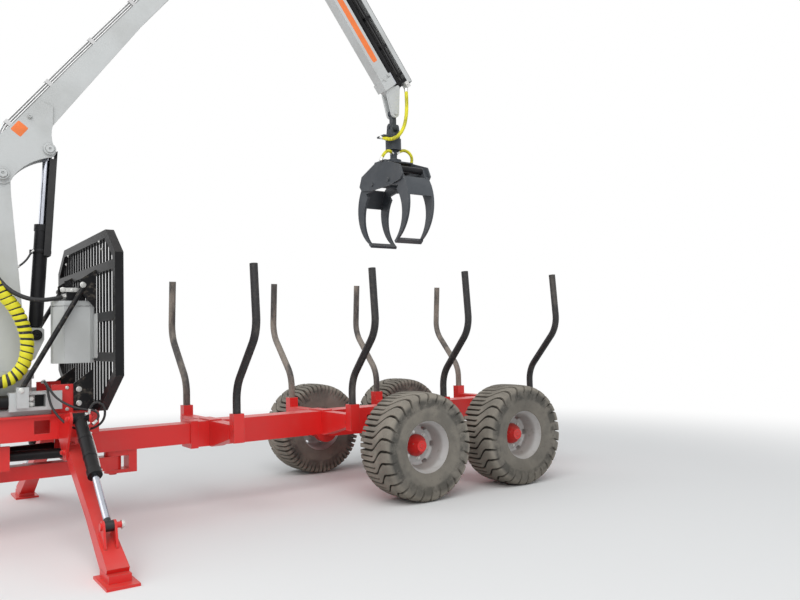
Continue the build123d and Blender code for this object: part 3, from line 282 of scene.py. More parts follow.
# a rod's line starts at its barrel's far pin; chrome reaches out to length and radius from it
rodSpec = {
    "lift_rod": dict(start=(1.557, 0, 1.409), way=(-0.061171, 0, 0.998127), length=1.296, radius=0.0268),
    "leg_rod_left": dict(start=(1.39, 0.640, 0.846), way=(0, 0.790572, -0.612369), length=0.876,
                         radius=0.0222),
    "leg_rod_right": dict(start=(1.39, -0.640, 0.846), way=(0, -0.790572, -0.612369), length=0.876,
                          radius=0.0222),
    "jib_rod": dict(start=(0.6473, 0, 4.3119), way=(-0.585092, 0, 0.810967), length=1.425, radius=0.0227),
}
rodColours = dict(chrome=(0.50, 0.52, 0.58), smeared=(0.36, 0.37, 0.41), paint=(0.008, 0.008, 0.009),
                  dusty=(0.03, 0.028, 0.026))


def rodMetal(name, start, way, length, radius):
    # offset = place - start; distance from the line = |offset x way|, and along it = offset . way
    f = Finish(name)
    offset = f.node("ShaderNodeVectorMath", dict(operation="SUBTRACT"), {0: f.place, 1: start})
    cross = f.node("ShaderNodeVectorMath", dict(operation="CROSS_PRODUCT"), {0: offset, 1: way})
    away = f.node("ShaderNodeVectorMath", dict(operation="LENGTH"), {0: cross}, "Value")
    reach = f.node("ShaderNodeVectorMath", dict(operation="DOT_PRODUCT"), {0: offset, 1: way}, "Value")
    black = away.above(radius, radius + 0.001).math("MAXIMUM", reach.above(length, length + 0.002))
    lines = f.noise(60.0, 4.0, 0.6, stretch=(6, 6, 1))
    smear = f.noise(7.0, 5.0, 0.6).above(0.45, 0.75)
    colour = f.mix(black, f.mix(smear * 0.4, rodColours["chrome"], rodColours["smeared"]),
                   f.mix(smear * 0.5, rodColours["paint"], rodColours["dusty"]))
    return f.end(Base_Color=colour, Metallic=1 - black * 0.98, Roughness=0.13 + black * 0.25 + lines * 0.1,
                 Normal=f.bump(lines, 0.05, 0.0005))


def wrapPlastic(name, base):
    # broad darker patches, 0.72 as bright as the base, and dusty specks
    f = Finish(name)
    broad = f.noise(9.0, 5.0, 0.6)
    fine = f.noise(55.0, 5.0, 0.65)
    colour = f.mix(broad.above(0.35, 0.75) * 0.5, base, tuple(c * 0.72 for c in base))
    colour = f.mix(fine.above(0.58, 0.74) * 0.35, colour, dustColour)
    return f.end(Base_Color=colour, Roughness=0.42 + fine * 0.2, Normal=f.bump(fine, 0.1, 0.001))


def stayPaint(name):
    # the stays are black, and their feet are grey as the boxes that they stand on
    f = Finish(name)
    foot = f.axis("X").above(1.648, 1.652) * (1 - f.axis("Z").above(1.057, 1.0575))
    speck = f.noise(24.0, 6.0, 0.65)
    black = f.mix(speck.above(0.5, 0.75) * 0.3, paintSpec["black"]["base"], dustColour)
    grey = f.mix(speck.above(0.45, 0.7) * 0.35, paintSpec["grey"]["base"], paintSpec["grey"]["faded"])
    return f.end(Base_Color=f.mix(foot, black, grey), Roughness=0.36 + speck * 0.12, Specular_IOR_Level=0.25,
                 Normal=f.bump(speck, 0.12, 0.001))


redPaint = paint("redPaint", paintSpec["red"])
greyPaint = paint("greyPaint", paintSpec["grey"])
rimPaint = paint("rimPaint", paintSpec["rim"], rimShadeAndGrime)
darkPaint = paint("darkPaint", paintSpec["dark"])
blackPaint = paint("blackPaint", paintSpec["black"])
stakeSteel = wornSteel("stakeSteel", stakeSpec)
chrome = metal("chromeRod", (0.52, 0.54, 0.59), 0.13, 0.08)
pipeSteel = metal("pipeSteel", (0.50, 0.50, 0.50), 0.34)
tyreRubber = rubber("tyreRubber", rubberSpec)
yellowWrap = wrapPlastic("yellowWrap", (0.78, 0.72, 0.018))
orangeFilm = wrapPlastic("orangeFilm", (0.86, 0.20, 0.045))
hoseRubber = wrapPlastic("hoseRubber", (0.018, 0.018, 0.019))
hubPaint = paint("hubPaint", paintSpec["red"])
zinc = metal("zincPlate", (0.66, 0.66, 0.64), 0.30)
print("materials made")

slotFinish = {
    "red_paint": redPaint, "grey_paint": greyPaint, "dark_paint": darkPaint, "black_paint": blackPaint,
    "worn_stake": stakeSteel, "chrome_rod": chrome, "tyre": tyreRubber, "wheel_paint": rimPaint,
    "steel_pipe": pipeSteel, "lamp": redPaint,
}
nodeFinish = {name: rodMetal("chrome_" + name, **spec) for name, spec in rodSpec.items()}
nodeFinish["headboard_stays"] = stayPaint("stayPaint")
slotOf = {part["node"]: part["material_slot"] for part in frame["record"]["subparts"]}
for name, node in nodes.items():
    node.data.materials.clear()
    node.data.materials.append(nodeFinish.get(name, slotFinish[slotOf[name]]))

# points of a piece that are nearer than this are one
mergeGap = 0.00002


def gridFaces(rows, columns, start, wrapRows):
    # each face joins two neighbouring rows and columns; the columns run round and meet again
    i = np.arange(rows if wrapRows else rows - 1)[:, None]
    j = np.arange(columns)[None, :]
    below, right = (i + 1) % rows, (j + 1) % columns
    corners = [i * columns + j, i * columns + right, below * columns + right, below * columns + j]
    return start + np.stack(np.broadcast_arrays(*corners), axis=-1).reshape(-1, 4)


def makePiece(name, grids, finish, body, wrapRows=False, sharp=35):
    # every grid is rows x columns x 3 in metres; all grids of a piece share one mesh.
    # Edges that turn by more than sharp degrees stay crisp
    points, faces, start = [], [], 0
    for grid in grids:
        grid = np.asarray(grid, float)
        rows, columns = grid.shape[:2]
        points.append(grid.reshape(-1, 3))
        faces.append(gridFaces(rows, columns, start, wrapRows))
        start += rows * columns
    points, faces = np.concatenate(points), np.concatenate(faces)
    mesh = bpy.data.meshes.new(name)
    mesh.vertices.add(len(points))
    mesh.vertices.foreach_set("co", points.ravel())
    mesh.loops.add(faces.size)
    mesh.loops.foreach_set("vertex_index", faces.ravel())
    mesh.polygons.add(len(faces))
    mesh.polygons.foreach_set("loop_start", np.arange(len(faces)) * 4)
    mesh.update(calc_edges=True)
    shell = bmesh.new()
    shell.from_mesh(mesh)
    bmesh.ops.remove_doubles(shell, verts=shell.verts, dist=mergeGap)
    bmesh.ops.recalc_face_normals(shell, faces=shell.faces)
    shell.to_mesh(mesh)
    shell.free()
    mesh.polygons.foreach_set("use_smooth", np.ones(len(mesh.polygons), bool))
    mesh.set_sharp_from_angle(angle=math.radians(sharp))
    mesh.materials.append(finish)
    piece = bpy.data.objects.new(name, mesh)
    collection.objects.link(piece)
    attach(piece, body)
    return piece


def axisFrame(direction):
    # the direction at length 1, and two more that are square to it and to each other
    axis = np.asarray(direction, float) / np.linalg.norm(direction)
    other = np.array([0, 0, 1.0]) if abs(axis[2]) < 0.9 else np.array([1.0, 0, 0])
    first = np.cross(other, axis)
    first /= np.linalg.norm(first)
    return axis, first, np.cross(axis, first)


def turned(profile, place, direction, columns, sides=0):
    # place + radius * (cos angle * first + sin angle * second) + height * axis, a row for each radius and
    # height. With sides, a row's third number says how far its ring is drawn in to a polygon
    axis, first, second = axisFrame(direction)
    profile = np.asarray(profile, float)
    angle = np.linspace(0, 2 * np.pi, columns, endpoint=False)
    radius = profile[:, 0][:, None] * np.ones(columns)
    if sides:
        half = np.pi / sides
        flat = np.cos(half) / np.cos((angle + half) % (2 * half) - half)
        radius = radius * (1 + profile[:, 2][:, None] * (flat - 1))
    ring = np.cos(angle)[:, None] * first + np.sin(angle)[:, None] * second
    return np.asarray(place) + radius[..., None] * ring + profile[:, 1][:, None, None] * axis


def boltHead(place, direction, size):
    # a washer and a hexagon with a chamfered top: radii in sizes, heights in 0.72 of them, so that a head
    # 24 mm across is about 8 mm tall
    profile = np.array([(0, -0.2, 0), (1.35, -0.2, 0), (1.35, 0.22, 0), (1.28, 0.28, 0), (1.06, 0.28, 1),
                        (1.06, 0.28, 1), (1.10, 1.05, 1), (0.98, 1.22, 0.4), (0.55, 1.24, 0), (0.5, 1.4, 0),
                        (0, 1.42, 0)])
    return turned(profile * np.array([size, size * 0.72, 1]), place, direction, 36, 6)


def pinEnd(place, direction, radius, height=0.012):
    # a round pin seen from its end, with a ring round it and a lathe centre in the middle
    profile = [(0, -0.004), (radius * 1.42, -0.004), (radius * 1.42, height * 0.5),
               (radius * 1.34, height * 0.72), (radius * 1.06, height * 0.72), (radius * 1.0, height * 0.5),
               (radius * 0.98, height * 1.3), (radius * 0.88, height * 1.7), (radius * 0.34, height * 1.7),
               (radius * 0.24, height * 0.9), (0, height * 0.8)]
    return turned(profile, place, direction, 40)


def lengthSteps(path):
    # the length gone at each point: the running sum of the distances between neighbours
    return np.concatenate([[0], np.cumsum(np.linalg.norm(np.diff(path, axis=0), axis=1))])


def placesAlong(path, share):
    # straight between a path's points, at shares of its whole length
    steps = lengthSteps(path)
    return np.stack([np.interp(share * steps[-1], steps, path[:, k]) for k in range(3)], axis=-1)


def pathSides(path, guide):
    # side = tangent x guide and up = side x tangent, with tangents by differences
    tangent = np.gradient(path, axis=0)
    tangent /= np.linalg.norm(tangent, axis=1)[:, None]
    side = np.cross(tangent, guide)
    side /= np.linalg.norm(side, axis=1)[:, None]
    return side, np.cross(side, tangent)


def capped(rows, first, last):
    # a row drawn to one point closes the grid at each end
    ends = [np.broadcast_to(point, rows.shape[1:])[None] for point in (first, last)]
    return np.concatenate([ends[0], rows, ends[1]])


# nearly the trailer's side direction, but never the direction of a hose
sideGuide = (0.12, 1, 0.05)


def tubeGrid(path, radius, guide=sideGuide, columns=12):
    # path + radius * (cos angle * side + sin angle * up)
    side, up = pathSides(path, guide)
    angle = np.linspace(0, 2 * np.pi, columns, endpoint=False)
    ring = np.cos(angle)[None, :, None] * side[:, None] + np.sin(angle)[None, :, None] * up[:, None]
    return capped(path[:, None] + radius * ring, path[0], path[-1])


def wrapGrid(path, radius, pitch, width, thick):
    # a thin rounded strip wound round a hose: path + (radius + height) * (cos angle * side + sin angle * up),
    # where the angle grows by a turn in each pitch. The strip's width swells and shrinks along the hose
    stepsPerTurn, lineSteps = 22, 400
    length = lengthSteps(path)[-1]
    turns = length * 0.985 / pitch
    count = int(turns * stepsPerTurn)
    share = np.linspace(0.008, 0.992, count)
    wide = np.array([-1, -0.86, -0.5, 0, 0.5, 0.86, 1, 0.86, 0, -0.86]) * width / 2
    high = np.array([0.35, 0.9, 1, 1, 1, 0.9, 0.35, 0.05, 0.05, 0.05]) * thick
    uneven = 1 + 0.22 * np.sin(2 * np.pi * 3.3 * share + 0.8)
    rows = np.clip(share[:, None] + wide[None] * uneven[:, None] / length, 0, 1)
    place = placesAlong(path, rows.ravel()).reshape(count, len(wide), 3)
    line = placesAlong(path, np.linspace(0, 1, lineSteps))
    steps = np.arange(lineSteps)
    side, up = (np.stack([np.interp(rows * (lineSteps - 1), steps, way[:, k]) for k in range(3)], axis=-1)
                for way in pathSides(line, sideGuide))
    angle = (2 * np.pi * turns * share)[:, None, None]
    band = place + (np.cos(angle) * side + np.sin(angle) * up) * (radius + high)[None, :, None]
    return capped(band, band[0].mean(axis=0), band[-1].mean(axis=0))


# points run from a hose's first end to its last; wrap is the pitch, width and thickness of a coiled strip
hoseSpec = {
    "tipHose": dict(body="rotator", size=0.030, length=0.70, end="fitting",
                    wrap=(0.012, 0.0105, 0.0022), points=[
        (-1.738, 0.085, 3.745), (-1.730, 0.100, 3.66), (-1.722, 0.112, 3.56), (-1.705, 0.120, 3.45),
        (-1.672, 0.124, 3.345), (-1.615, 0.118, 3.262), (-1.550, 0.095, 3.225), (-1.505, 0.05, 3.235),
        (-1.492, 0.0, 3.262)]),
    "grappleHoseRight": dict(body="grapple_frame", size=0.026, length=0.45, end="object",
                             wrap=(0.011, 0.0095, 0.002), points=[
        (-1.655, 0.02, 3.118), (-1.700, 0.03, 3.150), (-1.765, 0.035, 3.152), (-1.826, 0.03, 3.110),
        (-1.838, 0.015, 3.045), (-1.800, 0.0, 2.993), (-1.725, -0.01, 2.982), (-1.67, -0.02, 3.018)]),
    "grappleHoseLeft": dict(body="grapple_frame", size=0.026, length=0.21, end="object",
                            wrap=(0.011, 0.0095, 0.002), points=[
        (-1.602, 0.02, 3.112), (-1.565, 0.04, 3.128), (-1.510, 0.055, 3.115), (-1.465, 0.06, 3.07),
        (-1.448, 0.05, 3.022)]),
    "bundleHose": dict(body="column", size=0.078, length=1.38, end="object",
                       wrap=(0.044, 0.0315, 0.0055), points=[
        (1.900, 0.098, 1.98), (1.905, 0.170, 1.955), (1.900, 0.245, 1.88), (1.860, 0.285, 1.775),
        (1.795, 0.290, 1.680), (1.722, 0.290, 1.585), (1.672, 0.290, 1.470), (1.646, 0.290, 1.345),
        (1.664, 0.288, 1.215), (1.725, 0.285, 1.125), (1.815, 0.275, 1.085), (1.905, 0.24, 1.085),
        (1.965, 0.17, 1.11), (1.97, 0.10, 1.14)]),
    "valveHose": dict(body="column", size=0.030, length=0.81, end="fitting", points=[
        (1.885, 0.080, 2.02), (1.900, 0.150, 1.975), (1.885, 0.225, 1.90), (1.840, 0.290, 1.80),
        (1.765, 0.325, 1.705), (1.660, 0.338, 1.652), (1.560, 0.338, 1.642), (1.470, 0.330, 1.658),
        (1.408, 0.315, 1.672)]),
    "legHoseUpper": dict(body="chassis", size=0.016, length=0.61, end="fitting", points=[
        (1.565, 0.345, 1.085), (1.560, 0.375, 1.095), (1.545, 0.405, 1.06), (1.505, 0.435, 0.985),
        (1.455, 0.470, 0.942), (1.400, 0.520, 0.910), (1.345, 0.575, 0.895), (1.300, 0.630, 0.893),
        (1.278, 0.680, 0.870), (1.292, 0.712, 0.835), (1.325, 0.725, 0.812)]),
    "legHoseLower": dict(body="chassis", size=0.016, length=0.88, end="fitting", points=[
        (1.545, 0.335, 1.075), (1.540, 0.365, 1.06), (1.535, 0.385, 0.99), (1.520, 0.410, 0.912),
        (1.478, 0.450, 0.838), (1.425, 0.505, 0.785), (1.368, 0.565, 0.760), (1.305, 0.628, 0.768),
        (1.255, 0.680, 0.810), (1.240, 0.705, 0.878), (1.262, 0.705, 0.942), (1.310, 0.695, 0.950),
        (1.335, 0.685, 0.915), (1.338, 0.672, 0.880)]),
    "liftHose": dict(body="column", size=0.014, length=0.19, end="object", points=[
        (1.566, 0.020, 2.020), (1.588, 0.034, 2.000), (1.612, 0.044, 1.955), (1.650, 0.048, 1.912),
        (1.690, 0.046, 1.885)]),
}


def routeCurve(name, points, size):
    # the cord's curve, and its middle line, which is read before the curve gets its thickness
    curve = bpy.data.curves.new(name, "CURVE")
    curve.dimensions = "3D"
    spline = curve.splines.new("NURBS")
    spline.points.add(len(points) - 1)
    spline.points.foreach_set("co", np.column_stack([points, np.ones(len(points))]).ravel())
    spline.order_u = 3
    spline.use_endpoint_u = True
    spline.resolution_u = 12
    curve.use_fill_caps = True
    hose = bpy.data.objects.new(name, curve)
    collection.objects.link(hose)
    line = bpy.data.meshes.new_from_object(hose)
    path = np.empty(len(line.vertices) * 3)
    line.vertices.foreach_get("co", path)
    curve.bevel_depth = size / 2
    curve.bevel_resolution = 4
    return hose, path.reshape(-1, 3)


def ferrule(place, way, size):
    # a crimped collar and a narrower neck, a little wider than the hose
    collar, neck = size * 0.66, size * 0.60
    profile = [(0, -0.006), (collar, -0.006), (collar, 0.010), (neck, 0.014), (neck, 0.030), (0, 0.030)]
    return turned(profile, place, way, 24)


def makeHoses(spec):
    for name, s in spec.items():
        hose, path = routeCurve(name, s["points"], s["size"])
        hose.data.materials.append(hoseRubber)
        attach(hose, s["body"])
        ends = [ferrule(path[0], path[1] - path[0], s["size"]),
                ferrule(path[-1], path[-2] - path[-1], s["size"])]
        dressing = [makePiece(name + "Ends", ends, zinc, s["body"])]
        if "wrap" in s:
            band = wrapGrid(path, s["size"] / 2, *s["wrap"])
            dressing.append(makePiece(name + "Wrap", [band], yellowWrap, s["body"], sharp=50))
        print(name, "length", round(lengthSteps(path)[-1], 4))


wheelPlaces = {side + "_" + end: (bogieX + way * wheelGap, sign * trackHalf)
               for side, sign in (("left", 1), ("right", -1)) for end, way in (("front", 1), ("rear", -1))}
# rise and drop are turns in radians. Steps, lug and cut go by the distance from a lug's middle in pitches:
# steps are where columns stand, and lug and cut say how high the lug is and how deep its cut
tyreSpec = dict(lugs=28, rise=0.235, drop=0.045, rows=44, bead=(0.150, 0.208),
                steps=(0, 0.030, 0.055, 0.085, 0.16, 0.26, 0.345, 0.385, 0.415, 0.445, 0.462),
                lug=((0, 0.365, 0.395, 0.425, 0.45, 0.5), (1, 1, 0.95, 0.2, 0, 0)),
                cut=((0, 0.030, 0.055, 0.085, 0.5), (1, 1, 0.8, 0, 0)), cutDepth=0.85)
# half a section from the bead to the middle: y and radius of the carcass, then of the lugs' outside
tyreCarcass = [(0.150, 0.209), (0.1725, 0.2085), (0.1765, 0.2120), (0.1780, 0.222), (0.1800, 0.240),
               (0.1840, 0.265), (0.1890, 0.298), (0.1900, 0.326), (0.1890, 0.345), (0.1860, 0.362),
               (0.1790, 0.380), (0.1660, 0.394), (0.1440, 0.403), (0.1050, 0.409), (0.0550, 0.412),
               (0.0, 0.4135)]
tyreOutside = [(0.150, 0.209), (0.1725, 0.2085), (0.1765, 0.2120), (0.1780, 0.222), (0.1800, 0.240),
               (0.1840, 0.265), (0.1890, 0.298), (0.1905, 0.326), (0.1920, 0.345), (0.1975, 0.366),
               (0.1995, 0.390), (0.1955, 0.4135), (0.1790, 0.4325), (0.1250, 0.4375), (0.0600, 0.4395),
               (0.0, 0.4400)]


def smoothLine(points, count):
    # even steps over the list, then three rounds of averaging that keep the two ends
    points = np.asarray(points, float)
    at = np.linspace(0, len(points) - 1, count)
    line = np.stack([np.interp(at, np.arange(len(points)), points[:, k]) for k in (0, 1)], axis=-1)
    for _ in range(3):
        line[1:-1] = (line[:-2] + 2 * line[1:-1] + line[2:]) / 4
    return line


def ease(value):
    # 3 v^2 - 2 v^3 between 0 and 1
    value = np.clip(value, 0, 1)
    return value * value * (3 - 2 * value)


def tyreGrid(x, y, out, spec):
    # rows run from bead to bead, columns round the wheel. A lug is a straight block on the inner half, then
    # leans forward across the outer half and drops over the shoulder: angle = its turn - rise + drop.
    # Place = carcass + lug height * (outside - carcass); a short cut splits the inner block in two
    half = [smoothLine(line, spec["rows"]) for line in (tyreCarcass, tyreOutside)]
    bead, beadRadius = spec["bead"]
    inner = np.array([(bead, beadRadius), (-bead, beadRadius)])
    carcass, outside = (np.concatenate([h * np.array([-1, 1]), h[-2::-1], inner]) for h in half)
    wide, tall = outside[:, 0], outside[:, 1]
    offset = np.array(spec["steps"])
    across = np.concatenate([0.5 - offset[:0:-1], 0.5 + offset, [1.0]])
    gap = np.abs(across - 0.5)
    lugs = spec["lugs"]
    lug, cut = (np.tile(np.interp(gap, *spec[key]), lugs) for key in ("lug", "cut"))
    inside = ease((0.012 - wide) / 0.022) * (tall > 0.30)
    height = lug[None] * (1 - spec["cutDepth"] * inside[:, None] * cut[None])
    rise = spec["rise"] * ease((wide + 0.005) / 0.150)
    drop = spec["drop"] * ease((0.430 - tall) / 0.07) * (wide > 0)
    turn = (np.arange(lugs)[:, None] + across[None]).ravel() * 2 * np.pi / lugs
    angle = turn[None] - (rise - drop)[:, None]
    place = carcass[:, None] + (outside - carcass)[:, None] * height[..., None]
    width, radius = place[..., 0], place[..., 1]
    return np.stack([x + radius * np.sin(angle), y + out * width, wheelZ + radius * np.cos(angle)], axis=-1)


# radius and height of the hub's cap
hubProfile = [(0, -0.005), (0.0900, -0.005), (0.0900, 0.016), (0.0835, 0.025), (0.0815, 0.036),
              (0.0515, 0.070), (0.0490, 0.075), (0.0485, 0.083), (0.0455, 0.0868), (0.0240, 0.0868),
              (0.0225, 0.0845), (0.0215, 0.0880), (0.0180, 0.0900), (0, 0.0905)]
# count, circle, height over the wheel's middle plane, size and first angle in radians
nutSpec = dict(count=6, circle=0.1125, height=-0.006, size=0.0145, first=0.3)
screwSpec = dict(count=3, circle=0.066, height=0.0535, size=0.006, first=0.3)


def boltCircle(x, y, out, spec):
    # heads at even angles on a circle round the axle
    angle = np.arange(spec["count"]) * 2 * np.pi / spec["count"] + spec["first"]
    return [boltHead((x + spec["circle"] * np.cos(a), y + out * spec["height"],
                      wheelZ + spec["circle"] * np.sin(a)), (0, out, 0), spec["size"]) for a in angle]


def makeWheels(spec):
    for corner, (x, y) in wheelPlaces.items():
        out = 1 if y > 0 else -1
        body = "wheel_" + corner
        grid = tyreGrid(x, y, out, spec)
        tyre = makePiece("tyre_tread_" + corner, [grid], tyreRubber, body, True, 30)
        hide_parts("tyre_" + corner)
        hub = turned(hubProfile, (x, y, wheelZ), (0, out, 0), 64)
        makePiece("hub_cap_" + corner, [hub], hubPaint, body, sharp=40)
        makePiece("wheel_nuts_" + corner, boltCircle(x, y, out, nutSpec), zinc, body)
        makePiece("hub_screws_" + corner, boltCircle(x, y, out, screwSpec), hubPaint, body)


# a fitting's finish and its slot
fittingFinish = {"zinc": (zinc, "chrome_rod"), "grey": (greyPaint, "grey_paint"),
                 "red": (redPaint, "red_paint"), "black": (blackPaint, "black_paint")}
# heads are given by place, direction and half of their size across
boltSpec = {
    "frameBolts": dict(body="chassis", finish="zinc", heads=[
        ((1.325, s * 0.3145, z), (0, s, 0), 0.014) for s in (1, -1) for z in (1.021, 0.924)]
        + [((1.487, s * 0.3145, 1.000), (0, s, 0), 0.012) for s in (1, -1)]
        + [((1.400, s * 0.3005, z), (0, s, 0), 0.009) for s in (1, -1) for z in (0.885, 1.035)]),
    "stayBolts": dict(body="chassis", finish="zinc", heads=[
        (place, (0, s, 0), size) for s in (1, -1) for place, size in (
            ((1.318, s * 0.4195, 1.748), 0.015), ((1.706, s * 0.4165, 1.036), 0.013))]
        + [((1.437, 0.3585, 1.716), (0, 1, 0), 0.013), ((1.376, 0.3585, 1.713), (0, 1, 0), 0.009)]),
    "boxBolts": dict(body="chassis", finish="zinc", heads=[
        ((1.626, s * 0.2845, z), (0, s, 0), 0.013) for s in (1, -1) for z in (0.972, 0.931)]),
    "headboardBolts": dict(body="chassis", finish="zinc", heads=[
        ((1.2285, s * y, z), (1, 0, 0), 0.008) for s in (-1, 1)
        for y, z in ((0.499, 2.045), (0.575, 1.985))]),
    "bracketPins": dict(body="chassis", finish="red", heads=[
        ((1.39 + way * 0.0795, s * y, z), (way, 0, 0), 0.012) for s in (1, -1) for way in (1, -1)
        for y, z in ((0.480, 0.612), (0.640, 0.846))]),
    "lampBolts": dict(body="chassis", finish="zinc", heads=[
        ((-3.0405, y, 0.58), (-1, 0, 0), 0.009) for y in (-0.33, -0.12, 0.12, 0.33)]),
    "stickBolts": dict(body="stick", finish="grey", heads=[
        ((x, s * 0.0585, z), (0, s, 0), 0.017) for s in (1, -1)
        for x, z in ((-1.504, 3.809), (-1.549, 3.859))]),
    "legPinBolts": dict(body="leg_left", finish="zinc", heads=[((1.3170, 1.372, 0.279), (-1, 0, 0), 0.0195)]),
    "legPinBoltsRight": dict(body="leg_right", finish="zinc", heads=[
        ((1.3170, -1.372, 0.279), (-1, 0, 0), 0.0195)]),
}


def makeBolts(spec):
    for name, s in spec.items():
        finish, slot = fittingFinish[s["finish"]]
        makePiece(name, [boltHead(*head) for head in s["heads"]], finish, s["body"])


def armPoint(root, degrees, reach, lift, y):
    # reach goes along an arm and lift square to it: x = root + reach * cos + lift * sin,
    # height = root + reach * sin - lift * cos
    c, s = math.cos(math.radians(degrees)), math.sin(math.radians(degrees))
    return (root[0] + reach * c + lift * s, y, root[1] + reach * s - lift * c)


# the arms' first pins as x and height, and the turn of their middle lines in degrees
boom = ((1.779, 2.547), 127.32)
stick = ((-0.367, 5.362), 233.4)
# each pin's left end and radius; its right end mirrors the left one
pinSpec = {
    "boomPins": dict(body="boom", finish=greyPaint, pins=[
        (armPoint(*boom, 0.353, -0.117, 0.091), 0.030), (armPoint(*boom, 0.452, 0.124, 0.077), 0.013)]),
    "columnPins": dict(body="column", finish=greyPaint, pins=[((1.779, 0.1010, 2.547), 0.031)]),
    "liftRootPins": dict(body="column", finish=blackPaint, pins=[((1.557, 0.0725, 1.409), 0.027)]),
}


def makePins(spec):
    for name, s in spec.items():
        ends = [pinEnd((x, side * y, z), (0, side, 0), radius)
                for (x, y, z), radius in s["pins"] for side in (1, -1)]
        makePiece(name, ends, s["finish"], s["body"])


def plate(outline, root, degrees, low, high, bevel=0.0015):
    # x = root + reach * cos + lift * sin and height = root + reach * sin - lift * cos, carried from y low to
    # high. Both faces are closed to the outline's middle, and their rims are drawn in by the bevel
    outline = np.asarray(outline, float)
    middle = outline.mean(axis=0)
    arm = np.linalg.norm(outline - middle, axis=1)[:, None]
    inset = middle + (outline - middle) * (1 - bevel / arm)
    point = middle + 0 * outline
    rows = [(point, low), (inset, low), (outline, low + bevel), (outline, high - bevel), (inset, high),
            (point, high)]
    return np.stack([np.column_stack(armPoint(root, degrees, p[:, 0], p[:, 1], np.full(len(p), y)))
                     for p, y in rows])


def uprightPlate(outline, low, high, bevel=0.0015):
    # the same with an outline of x and height
    return plate([(x, -z) for x, z in outline], (0, 0), 0, low, high, bevel)


def bothSides(outline, root, degrees, low, high):
    return [plate(outline, root, degrees, *pair) for pair in ((low, high), (-high, -low))]


def box(start, end, low, high):
    # the four corners of a rectangle
    return [(start, low), (end, low), (end, high), (start, high)]


# the tray that guards the hoses along the stick: places are along the stick and up from its middle line
traySpec = dict(start=0.62, end=2.085, low=0.234, high=0.286, half=0.046, sheet=0.004, hook=0.030,
                hoseSides=(-0.030, -0.010, 0.010, 0.030), hoseLifts=(0.176, 0.204), hoseRadius=0.009,
                hoseSteps=60, straps=(0.75, 1.05, 1.35, 1.65, 1.95), strapWidth=0.030)


def makeTray(s):
    start, end, low, high, half = (s[key] for key in ("start", "end", "low", "high", "half"))
    lips = bothSides(box(start, end, low, high), *stick, half - s["sheet"], half)
    web = plate(box(start, end, high - s["sheet"], high), *stick, -half, half)
    hook = plate([(end, high - 0.004), (end + 0.004, high), (end + 0.012, low + 0.004),
                  (end - s["hook"], low - 0.002), (end - s["hook"], low + 0.003), (end + 0.006, low + 0.009)],
                 *stick, -half, half)
    makePiece("hoseTray", lips + [web, hook], greyPaint, "extension", sharp=25)
    # the hoses sway by 2 mm
    run = np.linspace(start + 0.02, end - 0.02, s["hoseSteps"])
    paths = [np.column_stack(armPoint(*stick, run, lift, y + 0.002 * np.sin(run * 9)))
             for y in s["hoseSides"] for lift in s["hoseLifts"]]
    lines = [tubeGrid(path, s["hoseRadius"]) for path in paths]
    makePiece("trayHoses", lines, hoseRubber, "extension")
    straps = []
    for at in s["straps"]:
        straps += bothSides(box(at, at + s["strapWidth"], 0.162, 0.236), *stick, 0.0405, 0.0435)
        straps.append(plate(box(at, at + s["strapWidth"], 0.160, 0.164), *stick, -0.0435, 0.0435))
    straps += bothSides(box(2.022, 2.072, 0.085, 0.236), *stick, 0.0345, 0.0405)
    makePiece("trayStraps", straps, blackPaint, "extension", sharp=25)
    coupling = [plate(box(2.050, 2.112, 0.150, 0.200), *stick, 0.038, 0.104, 0.004),
                boltHead(armPoint(*stick, 2.080, 0.175, 0.104), (0, 1, 0), 0.010)]
    makePiece("hoseCoupling", coupling, zinc, "extension", sharp=25)


# sheet pieces in upright planes beside the base: outline as x and height, then the two y places
sheetSpec = {
    # black sheets just inside the grey boxes' side faces: painted shade in their recesses
    "boxRecessPaintedShade": dict(finish="black", sheets=[
        (box(1.546, 1.603, 0.912, 0.994), s * 0.2805, s * 0.2835) for s in (1, -1)]),
    "valveBracket": dict(finish="zinc", sheets=[
        ([(1.300, 1.700), (1.452, 1.703), (1.456, 1.729), (1.352, 1.732), (1.300, 1.722)], 0.3505, 0.3580)]),
    "tankFlange": dict(finish="grey", sheets=[
        ([(1.2292, 1.250), (1.2340, 1.235), (1.2340, 1.535), (1.2292, 1.550)], 0.345, 0.452)]),
}


def makeSheets(spec):
    for name, s in spec.items():
        finish, slot = fittingFinish[s["finish"]]
        grids = [uprightPlate(outline, min(ends), max(ends), 0.0008) for outline, *ends in s["sheets"]]
        makePiece(name, grids, finish, "chassis", sharp=25)


# fittings on the legs' cylinders. Root and way are the left cylinder's line, pipe and clamps are distances
# along it, and a port is such a distance and a height over the line
legLineSpec = dict(root=(1.39, 0.640, 0.846), way=(0, 0.790572, -0.612369), pipe=(0.125, 0.470),
                   radius=0.0055, ports=((0.088, 0.034), (0.012, 0.046), (0.135, -0.012), (0.470, -0.012)),
                   clamps=(0.20, 0.36), steps=24)
portProfile = [(0, 0), (0.008, 0), (0.008, 0.016), (0.006, 0.018), (0, 0.018)]
clampProfile = [(0.0392, -0.009), (0.0425, -0.009), (0.0425, 0.009), (0.0392, 0.009)]


